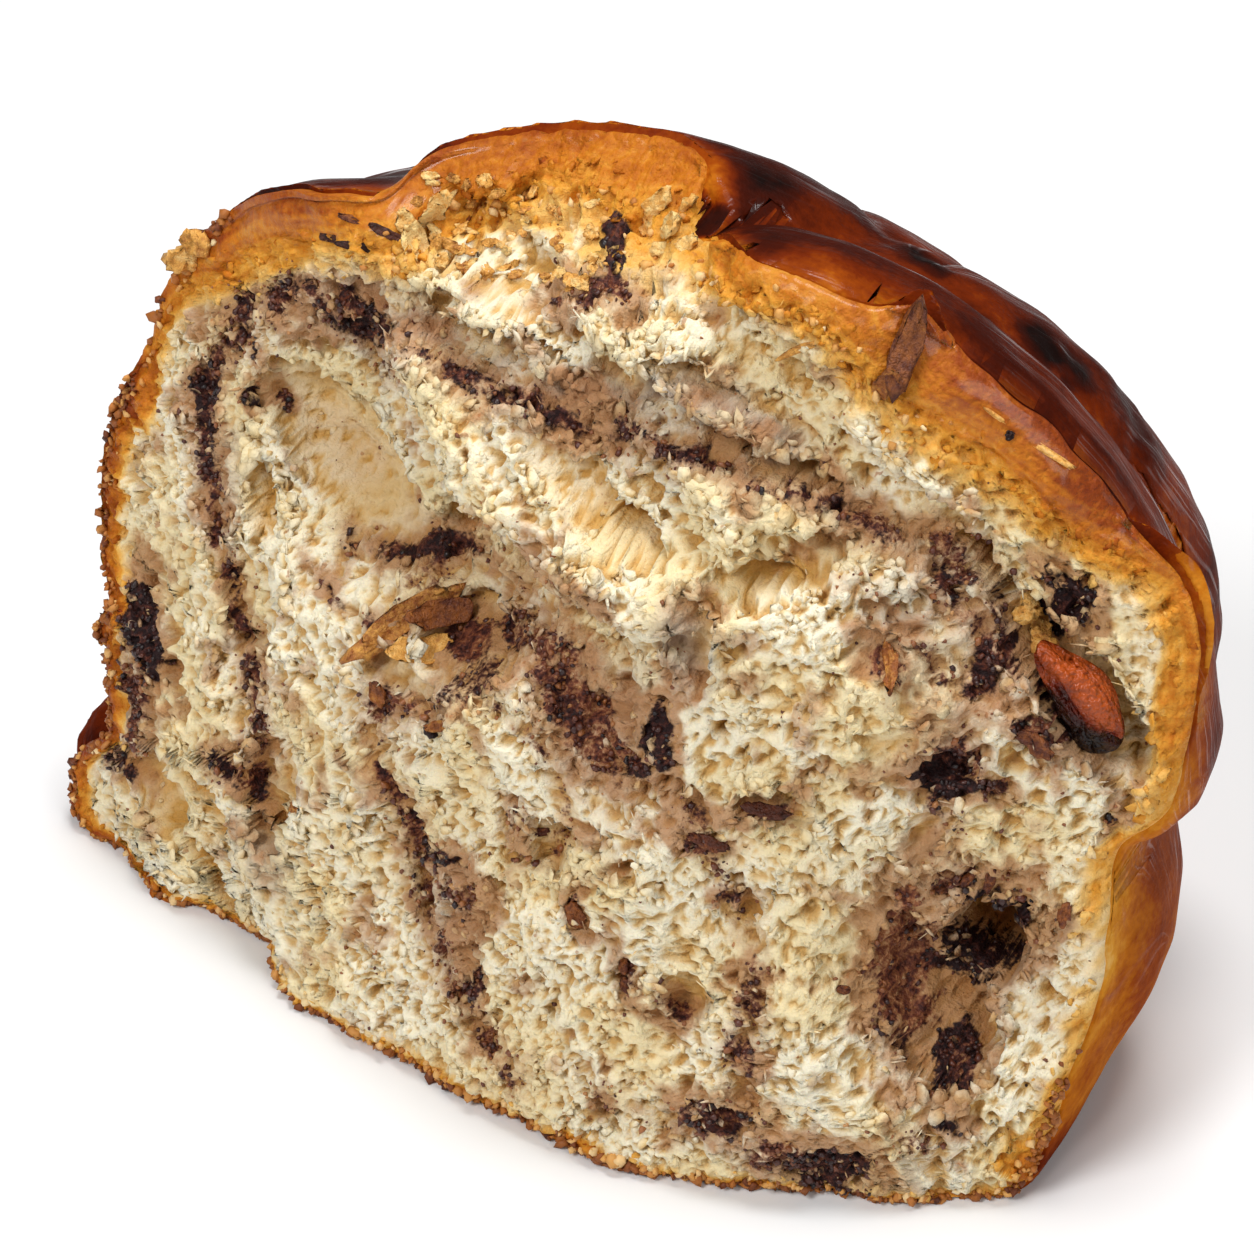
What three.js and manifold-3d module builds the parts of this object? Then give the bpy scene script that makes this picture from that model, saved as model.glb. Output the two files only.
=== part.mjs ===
// A torn half of a braided brioche with a cocoa swirl, standing on its flat bottom crust.
// Millimetres. +Z is up, X runs along the torn side from left to right, +Y goes from the torn side
// into the bread. The bread is one solid; the chocolate caught in its side crack is another.
import * as THREE from "three";
import { mergeVertices } from "three/addons/utils/BufferGeometryUtils.js";
import Module from "manifold-3d";

const wasm = await Module();
wasm.setup();

// ---- Driving sizes -------------------------------------------------------------------------
const LEFT = 64; // from the middle of the torn side to the left of the dome
const RIGHT = 43.5; // and to its right
const TOP = 82; // height of the dome under the strands
const DEPTH = 58; // from the torn side to the heel
const MIDDLE = new THREE.Vector3(-7, 13, 27); // middle of the dome
const SUNK = 32; // how far the dome would reach below the table if its base weren't flat
const TEAR_STEP = 2.6; // side of one facet of the torn side
const POCKET_GAP = 0.35; // between the chocolate and the bread round it

// ---- Noise ---------------------------------------------------------------------------------
const fade = (t) => t * t * (3 - 2 * t);
const clamp01 = (t) => Math.min(1, Math.max(0, t));

// A repeatable number from -1 to 1 for each point of a whole-number grid.
function lattice(i, j, k) {
  const s = Math.sin(i * 127.1 + j * 311.7 + k * 74.7) * 43758.5453;
  return 2 * (s - Math.floor(s)) - 1;
}

// Smooth noise from -1 to 1, with lumps about one unit across.
function noise(x, y, z) {
  const [i, j, k] = [x, y, z].map(Math.floor);
  const [u, v, w] = [fade(x - i), fade(y - j), fade(z - k)];
  let sum = 0;
  for (const [a, p] of [[0, 1 - u], [1, u]])
    for (const [b, q] of [[0, 1 - v], [1, v]])
      for (const [c, r] of [[0, 1 - w], [1, w]]) sum += p * q * r * lattice(i + a, j + b, k + c);
  return sum;
}

// Lumps of one size, in millimetres, at a point.
const lumps = (p, size) => noise(p.x / size, p.y / size + 7, p.z / size + 3);

// ---- Solids --------------------------------------------------------------------------------
// The geometry with every vertex moved by move(vertex).
function shaped(geometry, move) {
  const position = geometry.getAttribute("position");
  const p = new THREE.Vector3();
  for (let i = 0; i < position.count; i++) {
    p.fromBufferAttribute(position, i);
    move(p);
    position.setXYZ(i, p.x, p.y, p.z);
  }
  return geometry;
}

function solid(geometry) {
  const bare = geometry.clone().deleteAttribute("normal").deleteAttribute("uv");
  const merged = mergeVertices(bare, 1e-3);
  const mesh = new wasm.Mesh({
    numProp: 3,
    vertProperties: new Float32Array(merged.attributes.position.array),
    triVerts: new Uint32Array(merged.index.array),
  });
  return new wasm.Manifold(mesh);
}

function geometryOf(manifold) {
  const mesh = manifold.getMesh();
  const geometry = new THREE.BufferGeometry();
  geometry.setAttribute("position", new THREE.BufferAttribute(mesh.vertProperties, 3));
  geometry.setIndex(new THREE.BufferAttribute(mesh.triVerts, 1));
  return geometry;
}

// An uneven ball: half sizes, middle, turn in degrees, and the share by which lumps change it.
function ball(size, middle, turn = [0, 0, 0], uneven = 0.14, detail = [16, 11]) {
  const euler = new THREE.Euler(...turn.map(THREE.MathUtils.degToRad));
  const geometry = new THREE.SphereGeometry(1, ...detail);
  return solid(
    shaped(geometry, (p) => {
      p.multiplyScalar(1 + uneven * lumps(p.clone().addScalar(middle[0]), 0.9));
      p.multiply(new THREE.Vector3(...size)).applyEuler(euler);
      p.add(new THREE.Vector3(...middle));
    }),
  );
}

// ---- The dome under the strands -------------------------------------------------------------
// 2 is an ellipsoid, more is squarer: the dough filled the left corner of the tin better.
const corners = (x) => 2.15 + 0.55 * clamp01(-x / LEFT);
// Moves a point straight out from the middle, or in, until it is on the dome.
function toDome(p) {
  p.sub(MIDDLE);
  const reach = [
    p.x > 0 ? RIGHT - MIDDLE.x : LEFT + MIDDLE.x,
    p.y > 0 ? DEPTH - MIDDLE.y : DEPTH,
    p.z > 0 ? TOP - MIDDLE.z : MIDDLE.z + SUNK,
  ];
  const power = corners(p.x * (LEFT / p.length()));
  const share = p.toArray().map((d, i) => Math.abs(d / reach[i]) ** power);
  return p.multiplyScalar((share[0] + share[1] + share[2]) ** (-1 / power)).add(MIDDLE);
}
const outOfDome = (p) => p.clone().sub(MIDDLE).normalize();
function dome() {
  const geometry = new THREE.SphereGeometry(1, 52, 32);
  return solid(
    shaped(geometry, (p) => {
      toDome(p.add(MIDDLE));
      p.addScaledVector(outOfDome(p), 0.8 * lumps(p, 14));
    }),
  );
}

// ---- The strands of the braid ---------------------------------------------------------------
// Each lies on the dome, near the points of its path, and dives under its neighbours at its ends.
// half: half its width, half its height out of the dome, and that at its far end if it differs.
const STRANDS = [
  { path: [[-4, 12, 84], [18, 14, 80], [35, 16, 66], [45, 17, 50], [44, 20, 34]], half: [12, 10] },
  { path: [[46, 18, 38], [46, 20, 24], [43, 22, 10], [38, 24, -6]], half: [11, 4] },
  { path: [[-2, 24, 86], [16, 28, 78], [30, 34, 64], [38, 42, 46], [36, 48, 24]], half: [11, 4.4, 11.6] },
  { path: [[-8, 34, 82], [6, 40, 74], [18, 48, 60], [26, 54, 40], [26, 58, 18]], half: [11, 4.6, 8] },
  { path: [[-36, 20, 80], [-20, 23, 86], [-4, 29, 84], [8, 37, 74]], half: [11, 8.7, 7.5] },
  { path: [[-64, 14, 46], [-58, 16, 62], [-46, 18, 74], [-30, 24, 78]], half: [11, 5.6] },
  { path: [[-62, 28, 34], [-56, 36, 52], [-42, 40, 66], [-22, 42, 72], [-4, 46, 68]], half: [12, 4.2] },
  { path: [[-52, 46, 12], [-44, 54, 34], [-28, 58, 52], [-8, 56, 60], [10, 52, 58]], half: [12, 7] },
  { path: [[-40, 60, 4], [-20, 64, 22], [2, 64, 32], [20, 58, 30]], half: [12, 7] },
  { path: [[-62, 18, 14], [-64, 20, 30], [-62, 22, 44], [-56, 26, 56]], half: [11, 5] },
];
const CAPSULE_LENGTH = 8; // in strand radii, caps included
const LAID_IN = 2.6; // how far a strand's axis lies under the dome

function strand({ path, half }) {
  const laid = path.map((point, i) => {
    const p = toDome(new THREE.Vector3(...point));
    const end = i === 0 || i === path.length - 1;
    return p.addScaledVector(outOfDome(p), end ? -2 * LAID_IN : -LAID_IN);
  });
  const curve = new THREE.CatmullRomCurve3(laid);
  const geometry = new THREE.CapsuleGeometry(1, CAPSULE_LENGTH - 2, 4, 13, 9);
  return solid(
    shaped(geometry, (p) => {
      const t = clamp01(p.y / CAPSULE_LENGTH + 0.5);
      const along = curve.getTangentAt(t);
      const point = curve.getPointAt(t);
      const out = outOfDome(point).projectOnPlane(along).normalize();
      const across = along.clone().cross(out);
      const [width, height, farHeight = height] = half;
      const [x, z] = [p.x * width, p.z * (height + (farHeight - height) * t)];
      p.copy(point).addScaledVector(across, x).addScaledVector(out, z + 0.5 * lumps(point, 9));
    }),
  );
}

// ---- The torn side --------------------------------------------------------------------------
// Its bottom edge bulges to the front, and it leans back more and more towards the top.
const TEAR_FRONT = -12.9; // Y of the bulge at the table
function tearBase(x, z) {
  const off = x - 3;
  const bulge = (off < 0 ? 0.043 : 0.055) * Math.abs(off) ** 1.5;
  return TEAR_FRONT + bulge + 0.1 * z + 0.0017 * z * z;
}

// Hollows and raised folds of the torn crumb: middle x and z, half sizes, turn in degrees
// anticlockwise, and depth into the bread (negative where the crumb stands out).
const FOLDS = [
  { at: [-33, 55], half: [12, 11], turn: -30, depth: 8 }, // wide hollow inside the swirl
  { at: [-17, 51], half: [9, 6], turn: 35, depth: 7 }, // sunk fold in the middle
  { at: [-3, 65], half: [10, 4.5], turn: -25, depth: 3.5 }, // torn bubble under the swirl
  { at: [-22, 64], half: [14, 3], turn: -38, depth: -2.5 }, // lip over the wide hollow
  { at: [-4, 57], half: [14, 3.5], turn: 2, depth: -3 }, // lip over the sunk fold
  { at: [-10, 74], half: [26, 2.2], turn: -14, depth: 3 }, // groove of the upper swirl
  { at: [20, 68], half: [18, 2.4], turn: -32, depth: 3 }, // its lower end
  { at: [15, 54], half: [14, 8], turn: -20, depth: -2.5 }, // plump roll of dough
  { at: [12, 61], half: [7, 1.8], turn: 25, depth: 3 }, // crack over the roll
  { at: [-13, 41], half: [9, 7], turn: 10, depth: -2.5 }, // middle roll
  { at: [-3, 47], half: [4, 10], turn: 15, depth: 2 }, // cocoa seam beside it
  { at: [-40, 21], half: [3, 7], turn: -12, depth: 3 }, // pit in the left seam
  { at: [-44, 36], half: [3, 14], turn: -8, depth: 2 }, // left seam
  { at: [-51, 11], half: [8, 4], turn: -20, depth: 2.5 }, // shade above the left foot
  { at: [-45, 1], half: [6, 5], turn: 0, depth: 3 }, // notch of the bottom crust
  { at: [-23, 20], half: [4, 12], turn: 12, depth: 2 }, // lower seam
  { at: [30, 24], half: [9, 10], turn: 20, depth: 5 }, // shelf in front of the deep hole
  { at: [10, 24], half: [4, 12], turn: -8, depth: 1.6 }, // seam of specks
  { at: [18, 14], half: [12, 8], turn: 0, depth: -1.6 }, // lower roll
  { at: [-18, 79], half: [7, 3.5], turn: 10, depth: 3.5 }, // hollow of the peeled top
  { at: [6, 79], half: [9, 2.2], turn: -24, depth: 3 }, // gap under the upper flap
];
function folds(x, z) {
  let depth = 0;
  for (const { at, half, turn, depth: most } of FOLDS) {
    const a = THREE.MathUtils.degToRad(turn);
    const [dx, dz] = [x - at[0], z - at[1]];
    const u = (dx * Math.cos(a) + dz * Math.sin(a)) / half[0];
    const v = (dz * Math.cos(a) - dx * Math.sin(a)) / half[1];
    depth += most * Math.exp(-((u * u + v * v) ** 2));
  }
  return depth;
}
// Over the swirl the skin came away with the other half, so the crumb slopes back to the top.
function peeled(x, z) {
  const width = fade(clamp01(1.6 - Math.abs((x + 17) / 15)));
  return width * 0.42 * Math.max(0, z - 74.5) ** 1.5;
}
function tear(x, z) {
  const p = new THREE.Vector3(x, 0, z);
  return tearBase(x, z) + folds(x, z) + peeled(x, z) + 0.9 * lumps(p, 7) + 0.5 * lumps(p, 3.4);
}

// The piece that was torn away: a block whose back is the torn side.
function tornAway() {
  const [width, height, thick] = [150, 116, 90];
  const cells = [width, height].map((s) => Math.round(s / TEAR_STEP));
  const geometry = new THREE.BoxGeometry(width, thick, height, cells[0], 1, cells[1]);
  return solid(
    shaped(geometry, (p) => {
      p.x -= 8;
      p.z += height / 2 - 8;
      p.y = p.y > 0 ? tear(p.x, p.z) : -thick;
    }),
  );
}

// Holes that go deeper than the folds: half sizes, middle and turn.
const HOLES = [
  { half: [4.8, 17, 6.2], at: [33.5, 3, 26.5], turn: [8, 0, 6] }, // deep hole, right
  { half: [6.5, 9, 3.2], at: [-14, 6, 51], turn: [0, 38, 0] }, // under the middle fold
  { half: [13, 9, 3], at: [37.4, 8, 54], turn: [0, 58, 8] }, // side crack
  { half: [5, 8, 3], at: [-6, 16, 86.5], turn: [-24, 14, 0] }, // between the strands on top
  { half: [5, 16, 3.8], at: [-66, 26, 28], turn: [0, 24, 0] }, // notch over the foot
];

// ---- Feet and loose skin --------------------------------------------------------------------
// The dough spread over the left edge of the tin and stands on that foot, with a ragged corner.
const FEET = [
  { half: [14.5, 16, 12], at: [-56.5, 22, 4], turn: [0, 0, 0] },
  { half: [7, 7, 5], at: [-63, 16, 2], turn: [0, -14, 0] },
];
// Skin that stands proud: the curled flake on a strand and crumbs of the left shoulder.
const FLAKES = [
  { half: [2.3, 1.2, 5.2], at: [20.5, 11.2, 81.4], turn: [-42, -6, 10] },
  { half: [3, 2.6, 1.5], at: [-54.4, 17.5, 66.4], turn: [0, -35, 0] },
];

// ---- The piece of chocolate in the side crack -------------------------------------------------
const CHOCOLATE = { half: [8.8, 3.4, 3.2], at: [37.6, 8.8, 51.2], turn: [0, 60, 6] };
const grown = (piece, by) => ({ ...piece, half: piece.half.map((s) => s + by) });
const make = ({ half, at, turn }, uneven, detail) => ball(half, at, turn, uneven, detail);

// ---- Putting the bread together -------------------------------------------------------------
let bread = dome();
for (const s of STRANDS) bread = bread.add(strand(s));
for (const foot of FEET) bread = bread.add(make(foot, 0.06, [20, 14]));
bread = bread.subtract(tornAway());
for (const hole of HOLES) bread = bread.subtract(make(hole));
for (const flake of FLAKES) bread = bread.add(make(flake, 0.2, [12, 9]));
bread = bread.subtract(make(grown(CHOCOLATE, POCKET_GAP), 0.05));
const below = new THREE.BoxGeometry(300, 300, 100).translate(0, 0, -50);
bread = bread.subtract(solid(below));
const main = bread.decompose().sort((a, b) => b.volume() - a.volume())[0];

const baked = new THREE.MeshStandardMaterial({ color: 0xb8702c, roughness: 0.45, metalness: 0 });
const dark = new THREE.MeshStandardMaterial({ color: 0x5a1c0c, roughness: 0.2, metalness: 0 });

const brioche = new THREE.Mesh(geometryOf(main), baked);
brioche.name = "brioche";
const chocolate = new THREE.Mesh(geometryOf(make(CHOCOLATE, 0.05)), dark);
chocolate.name = "chocolate_piece";

// The part's origin is on the table, under the middle of the bread.
const box = new THREE.Box3().setFromBufferAttribute(brioche.geometry.getAttribute("position"));
const half = new THREE.Group();
half.add(brioche, chocolate);
half.position.set(-(box.min.x + box.max.x) / 2, -(box.min.y + box.max.y) / 2, -box.min.z);

export default half;
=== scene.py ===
import math
from itertools import product

import bmesh
import bpy
import numpy as np
from mathutils import Matrix, Vector
from mathutils.bvhtree import BVHTree


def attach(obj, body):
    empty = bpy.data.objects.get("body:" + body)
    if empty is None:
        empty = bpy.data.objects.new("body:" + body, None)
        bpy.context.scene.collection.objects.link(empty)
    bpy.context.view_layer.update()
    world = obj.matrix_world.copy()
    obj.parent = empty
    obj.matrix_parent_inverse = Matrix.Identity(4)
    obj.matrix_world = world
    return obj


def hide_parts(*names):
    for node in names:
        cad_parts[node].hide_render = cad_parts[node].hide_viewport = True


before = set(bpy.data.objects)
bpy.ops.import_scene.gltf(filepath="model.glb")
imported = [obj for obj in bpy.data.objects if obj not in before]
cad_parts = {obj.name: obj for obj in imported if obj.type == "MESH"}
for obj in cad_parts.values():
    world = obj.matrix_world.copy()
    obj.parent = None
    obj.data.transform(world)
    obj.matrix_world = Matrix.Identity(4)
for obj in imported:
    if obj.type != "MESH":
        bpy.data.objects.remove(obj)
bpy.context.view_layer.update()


# ==== The torn side ==========================================================================
# Where the loaf was pulled in two. The crumb bulges to the front at the bottom and leans back
# towards the top, with hollows and lips where layers of dough parted. Sizes are millimetres from
# the middle of the bulge: x to the right along the table, z up, y into the bread.
MM = 0.001
BULGE = np.array([11.2466, -24.9355, 0.0])  # that middle, in the part's own frame
FOREMOST_X, FOREMOST_Y = 3, -12.9  # where the bulge stands out most
TORN_MIDDLE = (-9.0, 40.0)  # x, z
INTO = Vector((-0.346, 0.742, -0.574))  # the way hollows and seams run into the bread
SLANT_X, SLANT_Z = 0.47, 0.77  # how far right and up that is looked up, for each mm of depth

FOLDS = (  # x, z, half width, half height, turn in degrees, depth
    (-33, 55, 12, 11, -30, 8), (-17, 51, 9, 6, 35, 7), (-3, 65, 10, 4.5, -25, 3.5),
    (-22, 64, 14, 3, -38, -2.5), (-4, 57, 14, 3.5, 2, -3), (-10, 74, 26, 2.2, -14, 3),
    (20, 68, 18, 2.4, -32, 3), (15, 54, 14, 8, -20, -2.5), (12, 61, 7, 1.8, 25, 3),
    (-13, 41, 9, 7, 10, -2.5), (-3, 47, 4, 10, 15, 2), (-40, 21, 3, 7, -12, 3),
    (-44, 36, 3, 14, -8, 2), (-51, 11, 8, 4, -20, 2.5), (-45, 1, 6, 5, 0, 3),
    (-23, 20, 4, 12, 12, 2), (30, 24, 9, 10, 20, 5), (10, 24, 4, 12, -8, 1.6),
    (18, 14, 12, 8, 0, -1.6), (-18, 79, 7, 3.5, 10, 3.5), (6, 79, 9, 2.2, -24, 3),
)


def smooth(t):
    t = np.clip(t, 0, 1)
    return t * t * (3 - 2 * t)


def lattice(i, j, k, seed=0.0):
    s = np.sin(i * 127.1 + j * 311.7 + k * 74.7 + seed * 19.19) * 43758.5453
    return 2 * (s - np.floor(s)) - 1


def lumps(p, size, seed=0.0):
    """Smooth noise from -1 to 1 at points p, with lumps of that size in millimetres."""
    q = p / size + np.array([0.0, 7.0, 3.0])
    i = np.floor(q)
    f = smooth(q - i)
    total = 0
    for corner in product((0, 1), repeat=3):
        near = [f[..., n] if c else 1 - f[..., n] for n, c in enumerate(corner)]
        at = (i[..., n] + c for n, c in enumerate(corner))
        total = total + near[0] * near[1] * near[2] * lattice(*at, seed)
    return total


def oval(x, z, at, half, turn=0.0):
    """0 in the middle of a turned oval of the torn side, and 1 on its edge."""
    a = math.radians(turn)
    u = ((x - at[0]) * math.cos(a) + (z - at[1]) * math.sin(a)) / half[0]
    v = ((z - at[1]) * math.cos(a) - (x - at[0]) * math.sin(a)) / half[1]
    return np.sqrt(u * u + v * v)


def bulging(x, z):
    """y of the torn side without its folds. It falls back to both sides and to the top."""
    off = x - FOREMOST_X
    to_sides = np.where(off < 0, 0.043, 0.055) * np.abs(off) ** 1.5
    return FOREMOST_Y + to_sides + 0.1 * z + 0.0017 * z * z


def torn_side(x, z):
    """y of the torn side, without its crumb."""
    y = bulging(x, z)
    for fx, fz, wide, high, turn, depth in FOLDS:
        y = y + depth * np.exp(-oval(x, z, (fx, fz), (wide, high), turn) ** 4)
    # At the top left a strand was peeled off the next, so the dough leans back further.
    y = y + smooth(1.6 - np.abs((x + 17) / 15)) * 0.42 * np.maximum(0, z - 74.5) ** 1.5
    flat = np.stack([x, np.zeros_like(x), z], -1)
    return y + 0.9 * lumps(flat, 7) + 0.5 * lumps(flat, 3.4)


def points_of(mesh, kind="co"):
    """Where the vertices of a mesh are, in millimetres, or their normals."""
    values = np.zeros(len(mesh.vertices) * 3)
    mesh.vertices.foreach_get(kind, values)
    values = values.reshape(-1, 3)
    return values / MM - BULGE if kind == "co" else values


def neighbours(mesh):
    ends = np.zeros(len(mesh.edges) * 2, np.int32)
    mesh.edges.foreach_get("vertices", ends)
    return ends.reshape(-1, 2)


def spread(values, ends, times, share=0.5):
    """Each vertex's value moved towards the mean of its neighbours' values, a number of times."""
    a = np.concatenate([ends[:, 0], ends[:, 1]])
    b = np.concatenate([ends[:, 1], ends[:, 0]])
    count = np.maximum(np.bincount(a, minlength=len(values)), 1)
    values = values.copy()
    flat = values.reshape(len(values), -1)
    for _ in range(times):
        for c in range(flat.shape[1]):
            mean = np.bincount(a, weights=flat[b, c], minlength=len(flat)) / count
            flat[:, c] += share * (mean - flat[:, c])
    return flat.reshape(values.shape)


def placed(name, data):
    made = bpy.data.objects.new(name, data)
    bpy.context.scene.collection.objects.link(made)
    return made


# The loaf's own skin, evened out, with the pores of the torn side filled: what crust is made from.
LOAF_GRAIN = 0.7  # size of one cell of its mesh, mm
PLUGS = (((34, 6, 28), (8, 16, 9)), ((-14, 8, 51), (9, 9, 6)), ((38, 12, 54), (10, 10, 12)))
bread = bmesh.new()
bread.from_mesh(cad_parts["brioche"].data)
bmesh.ops.remove_doubles(bread, verts=bread.verts, dist=1e-6)
for at, reach in PLUGS:
    plug = Matrix.Translation((np.array(at) + BULGE) * MM) @ Matrix.Diagonal((*reach, 1000)) * MM
    bmesh.ops.create_uvsphere(bread, u_segments=24, v_segments=14, radius=1, matrix=plug)
shell = bpy.data.meshes.new("crust")
bread.to_mesh(shell)
bread.free()
rough = placed("rough_crust", shell)
remesh = rough.modifiers.new("cells", "REMESH")
remesh.mode = "VOXEL"
remesh.voxel_size = LOAF_GRAIN * MM
even = rough.evaluated_get(bpy.context.evaluated_depsgraph_get())
crust_mesh = bpy.data.meshes.new_from_object(even)
bpy.data.objects.remove(rough)
skin = points_of(crust_mesh)
ends = neighbours(crust_mesh)
for _ in range(2):
    skin = spread(skin, ends, 14, 0.6)
    skin = spread(skin, ends, 14, -0.62)
skin = spread(skin, ends, 5, 0.5)
loaf = BVHTree.FromPolygons(skin.tolist(), [list(f.vertices) for f in crust_mesh.polygons])


def in_loaf(q):
    """Whether a point is in the bread."""
    place, normal, _, _ = loaf.find_nearest(q)
    return (Vector(q) - place).dot(normal) < 0


# How far the torn side reaches from its middle, for each direction.
DIRECTIONS = 720
rim_turn = np.arange(DIRECTIONS) * 2 * math.pi / DIRECTIONS
rim_reach = np.zeros(DIRECTIONS)
radii = np.arange(78.0, 20.0, -0.3)
for k, turn in enumerate(rim_turn):
    xs = TORN_MIDDLE[0] + radii * math.cos(turn)
    zs = TORN_MIDDLE[1] + radii * math.sin(turn)
    for r, x, z, y in zip(radii, xs, zs, torn_side(xs, zs)):
        if z > 0 and in_loaf((x, y + 1.4, z)):
            rim_reach[k] = r + 0.15
            break
wide = np.concatenate([rim_reach[-12:], rim_reach, rim_reach[:12]])
wide = np.array([np.median(wide[max(k - 4, 0):k + 5]) for k in range(len(wide))])
wide = np.convolve(wide, np.hanning(9) / np.hanning(9).sum(), "same")
rim_reach = wide[12:-12]


def round_middle(x, z):
    """Turn round the middle of the torn side, and distance from it."""
    dx, dz = x - TORN_MIDDLE[0], z - TORN_MIDDLE[1]
    return np.arctan2(dz, dx), np.hypot(dx, dz)


def rim_at(turn):
    closed = np.append(rim_turn, 2 * math.pi), np.append(rim_reach, rim_reach[0])
    return np.interp(np.mod(turn, 2 * math.pi), *closed)


def from_rim(x, z):
    """Distance inwards from the rim of the torn side, in millimetres."""
    turn, radius = round_middle(x, z)
    return rim_at(turn) - radius


# Where white crumb ends and the dough was pulled smooth and baked golden instead of torn.
CRUMB_LINE = (  # x, z
    (36.2, 4.4), (39, 9.7), (40.3, 15.8), (41.1, 21.5), (41.7, 27.2), (42, 33.4), (42, 41.8),
    (42.2, 47.8), (42.1, 53), (41.5, 57), (39.8, 59.9), (37.6, 62.2), (34.8, 64.5), (32, 66.8),
    (28.1, 69.9), (23.8, 72.4), (20.5, 74), (17.5, 76.5), (14.5, 79.5), (12, 81.5), (7, 82.6),
    (3, 82), (-0.7, 82), (-4.8, 81.6), (-7.2, 81), (-11, 80.4), (-16.4, 79.6), (-21, 78.8),
    (-25.1, 77.8), (-28.2, 76.4), (-30.6, 74.4), (-36.4, 72.8), (-44.4, 69.8), (-48.6, 66.2),
    (-54.2, 62.8), (-58.2, 58.6), (-60.4, 53), (-61.4, 47),
)
line_turn, line_reach = zip(*sorted(round_middle(x, z) for x, z in CRUMB_LINE))


def past_crumb(x, z):
    """How far past the crumb's edge a point of the torn side is, in millimetres."""
    turn, radius = round_middle(x, z)
    edge = np.interp(turn, line_turn, line_reach, left=99.0, right=99.0)
    edge = edge + 3.2 * smooth((0.62 - np.abs(turn + 0.06)) / 0.3)  # crumb goes further on the right
    return radius - np.minimum(edge, radius + from_rim(x, z) - 0.8)


# ==== Crust ==================================================================================
# The glazed skin of the braid and its baked bottom. Strands were rolled, laid over each other,
# proved, brushed with egg and baked dark on top. Inside it's scooped out for the crumb.
CRUST_EDGE = 0.5  # crust that shows as a rim round the crumb, mm
SCOOP = 26.0  # how deep the crumb sits in it, mm
LEFT_BEHIND = 2.6  # crust and crumb left between the scoop and the skin behind it, mm
RING = 2.6  # width of the edge that turns back from the torn side, mm

STRANDS = (  # points the strands run through, as in the braid's solids
    ((-4, 12, 84), (18, 14, 80), (35, 16, 66), (45, 17, 50), (44, 20, 34)),
    ((46, 18, 38), (46, 20, 24), (43, 22, 10), (38, 24, -6)),
    ((-2, 24, 86), (16, 28, 78), (30, 34, 64), (38, 42, 46), (36, 48, 24)),
    ((-8, 34, 82), (6, 40, 74), (18, 48, 60), (26, 54, 40), (26, 58, 18)),
    ((-36, 20, 80), (-20, 23, 86), (-4, 29, 84), (8, 37, 74)),
    ((-64, 14, 46), (-58, 16, 62), (-46, 18, 74), (-30, 24, 78)),
    ((-62, 28, 34), (-56, 36, 52), (-42, 40, 66), (-22, 42, 72), (-4, 46, 68)),
    ((-52, 46, 12), (-44, 54, 34), (-28, 58, 52), (-8, 56, 60), (10, 52, 58)),
    ((-40, 60, 4), (-20, 64, 22), (2, 64, 32), (20, 58, 30)),
    ((-62, 18, 14), (-64, 20, 30), (-62, 22, 44), (-56, 26, 56)),
)


def finished(name, mesh, material, node="brioche"):
    """A piece of the bread from its mesh, riding on it."""
    mesh.shade_smooth()
    mesh.materials.clear()
    mesh.materials.append(material)
    piece = placed(name, mesh)
    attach(piece, "root")
    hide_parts(node)
    return piece


def put_points(mesh, points):
    mesh.vertices.foreach_set("co", ((points + BULGE) * MM).astype(np.float32).ravel())
    mesh.update()


def paint(mesh, **named):
    """Keeps numbers, or threes of them, for each vertex of the mesh, for its material to read."""
    for name, values in named.items():
        kind, field = ("FLOAT_VECTOR", "vector") if values.ndim == 2 else ("FLOAT", "value")
        kept = mesh.attributes.new(name, kind, "POINT")
        kept.data.foreach_set(field, values.astype(np.float32).ravel())


def dots(a, b):
    return np.einsum("ij,ij->i", a, b)


def unit(a):
    return a / np.linalg.norm(a, axis=1)[:, None]


def aside(a, b):
    """What is left of vectors a when the part along unit vectors b is taken off."""
    return a - b * dots(a, b)[:, None]


p = skin.copy()
inside = from_rim(p[:, 0], p[:, 2])
torn = torn_side(p[:, 0], p[:, 2])
first_hit = np.full(len(p), 1e3)
back_hit = np.full(len(p), 1e3)
for i in np.nonzero(inside > -1.5)[0]:
    x, z = p[i, 0], p[i, 2]
    hit = loaf.ray_cast((x, -200, z), (0, 1, 0))[0]
    if hit is not None:
        first_hit[i] = hit.y
        back_hit[i] = loaf.ray_cast((x, 200, z), (0, -1, 0))[0].y
front = (inside > -0.3) & (p[:, 1] < first_hit + 1.8)
front |= (inside > 1.0) & (p[:, 1] < back_hit - 3.0)

# The scoop: everything behind the torn side goes back, and stays clear of the skin behind it.
depth = smooth((inside - CRUST_EDGE) / 2.5) * SCOOP
room = np.maximum(back_hit - torn - LEFT_BEHIND, 0.3) * smooth((inside - 0.3) / 1.5)
p[front, 1] = (torn + np.minimum(depth, room))[front]
ring = (inside > -RING) & (p[:, 1] < torn + 3.5)
p[ring, 1] = np.maximum(p[:, 1], torn + 1.9 * smooth((inside + RING) / 1.8))[ring]
p[:, 2] = np.maximum(p[:, 2], 0.0)
put_points(crust_mesh, p)


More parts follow.
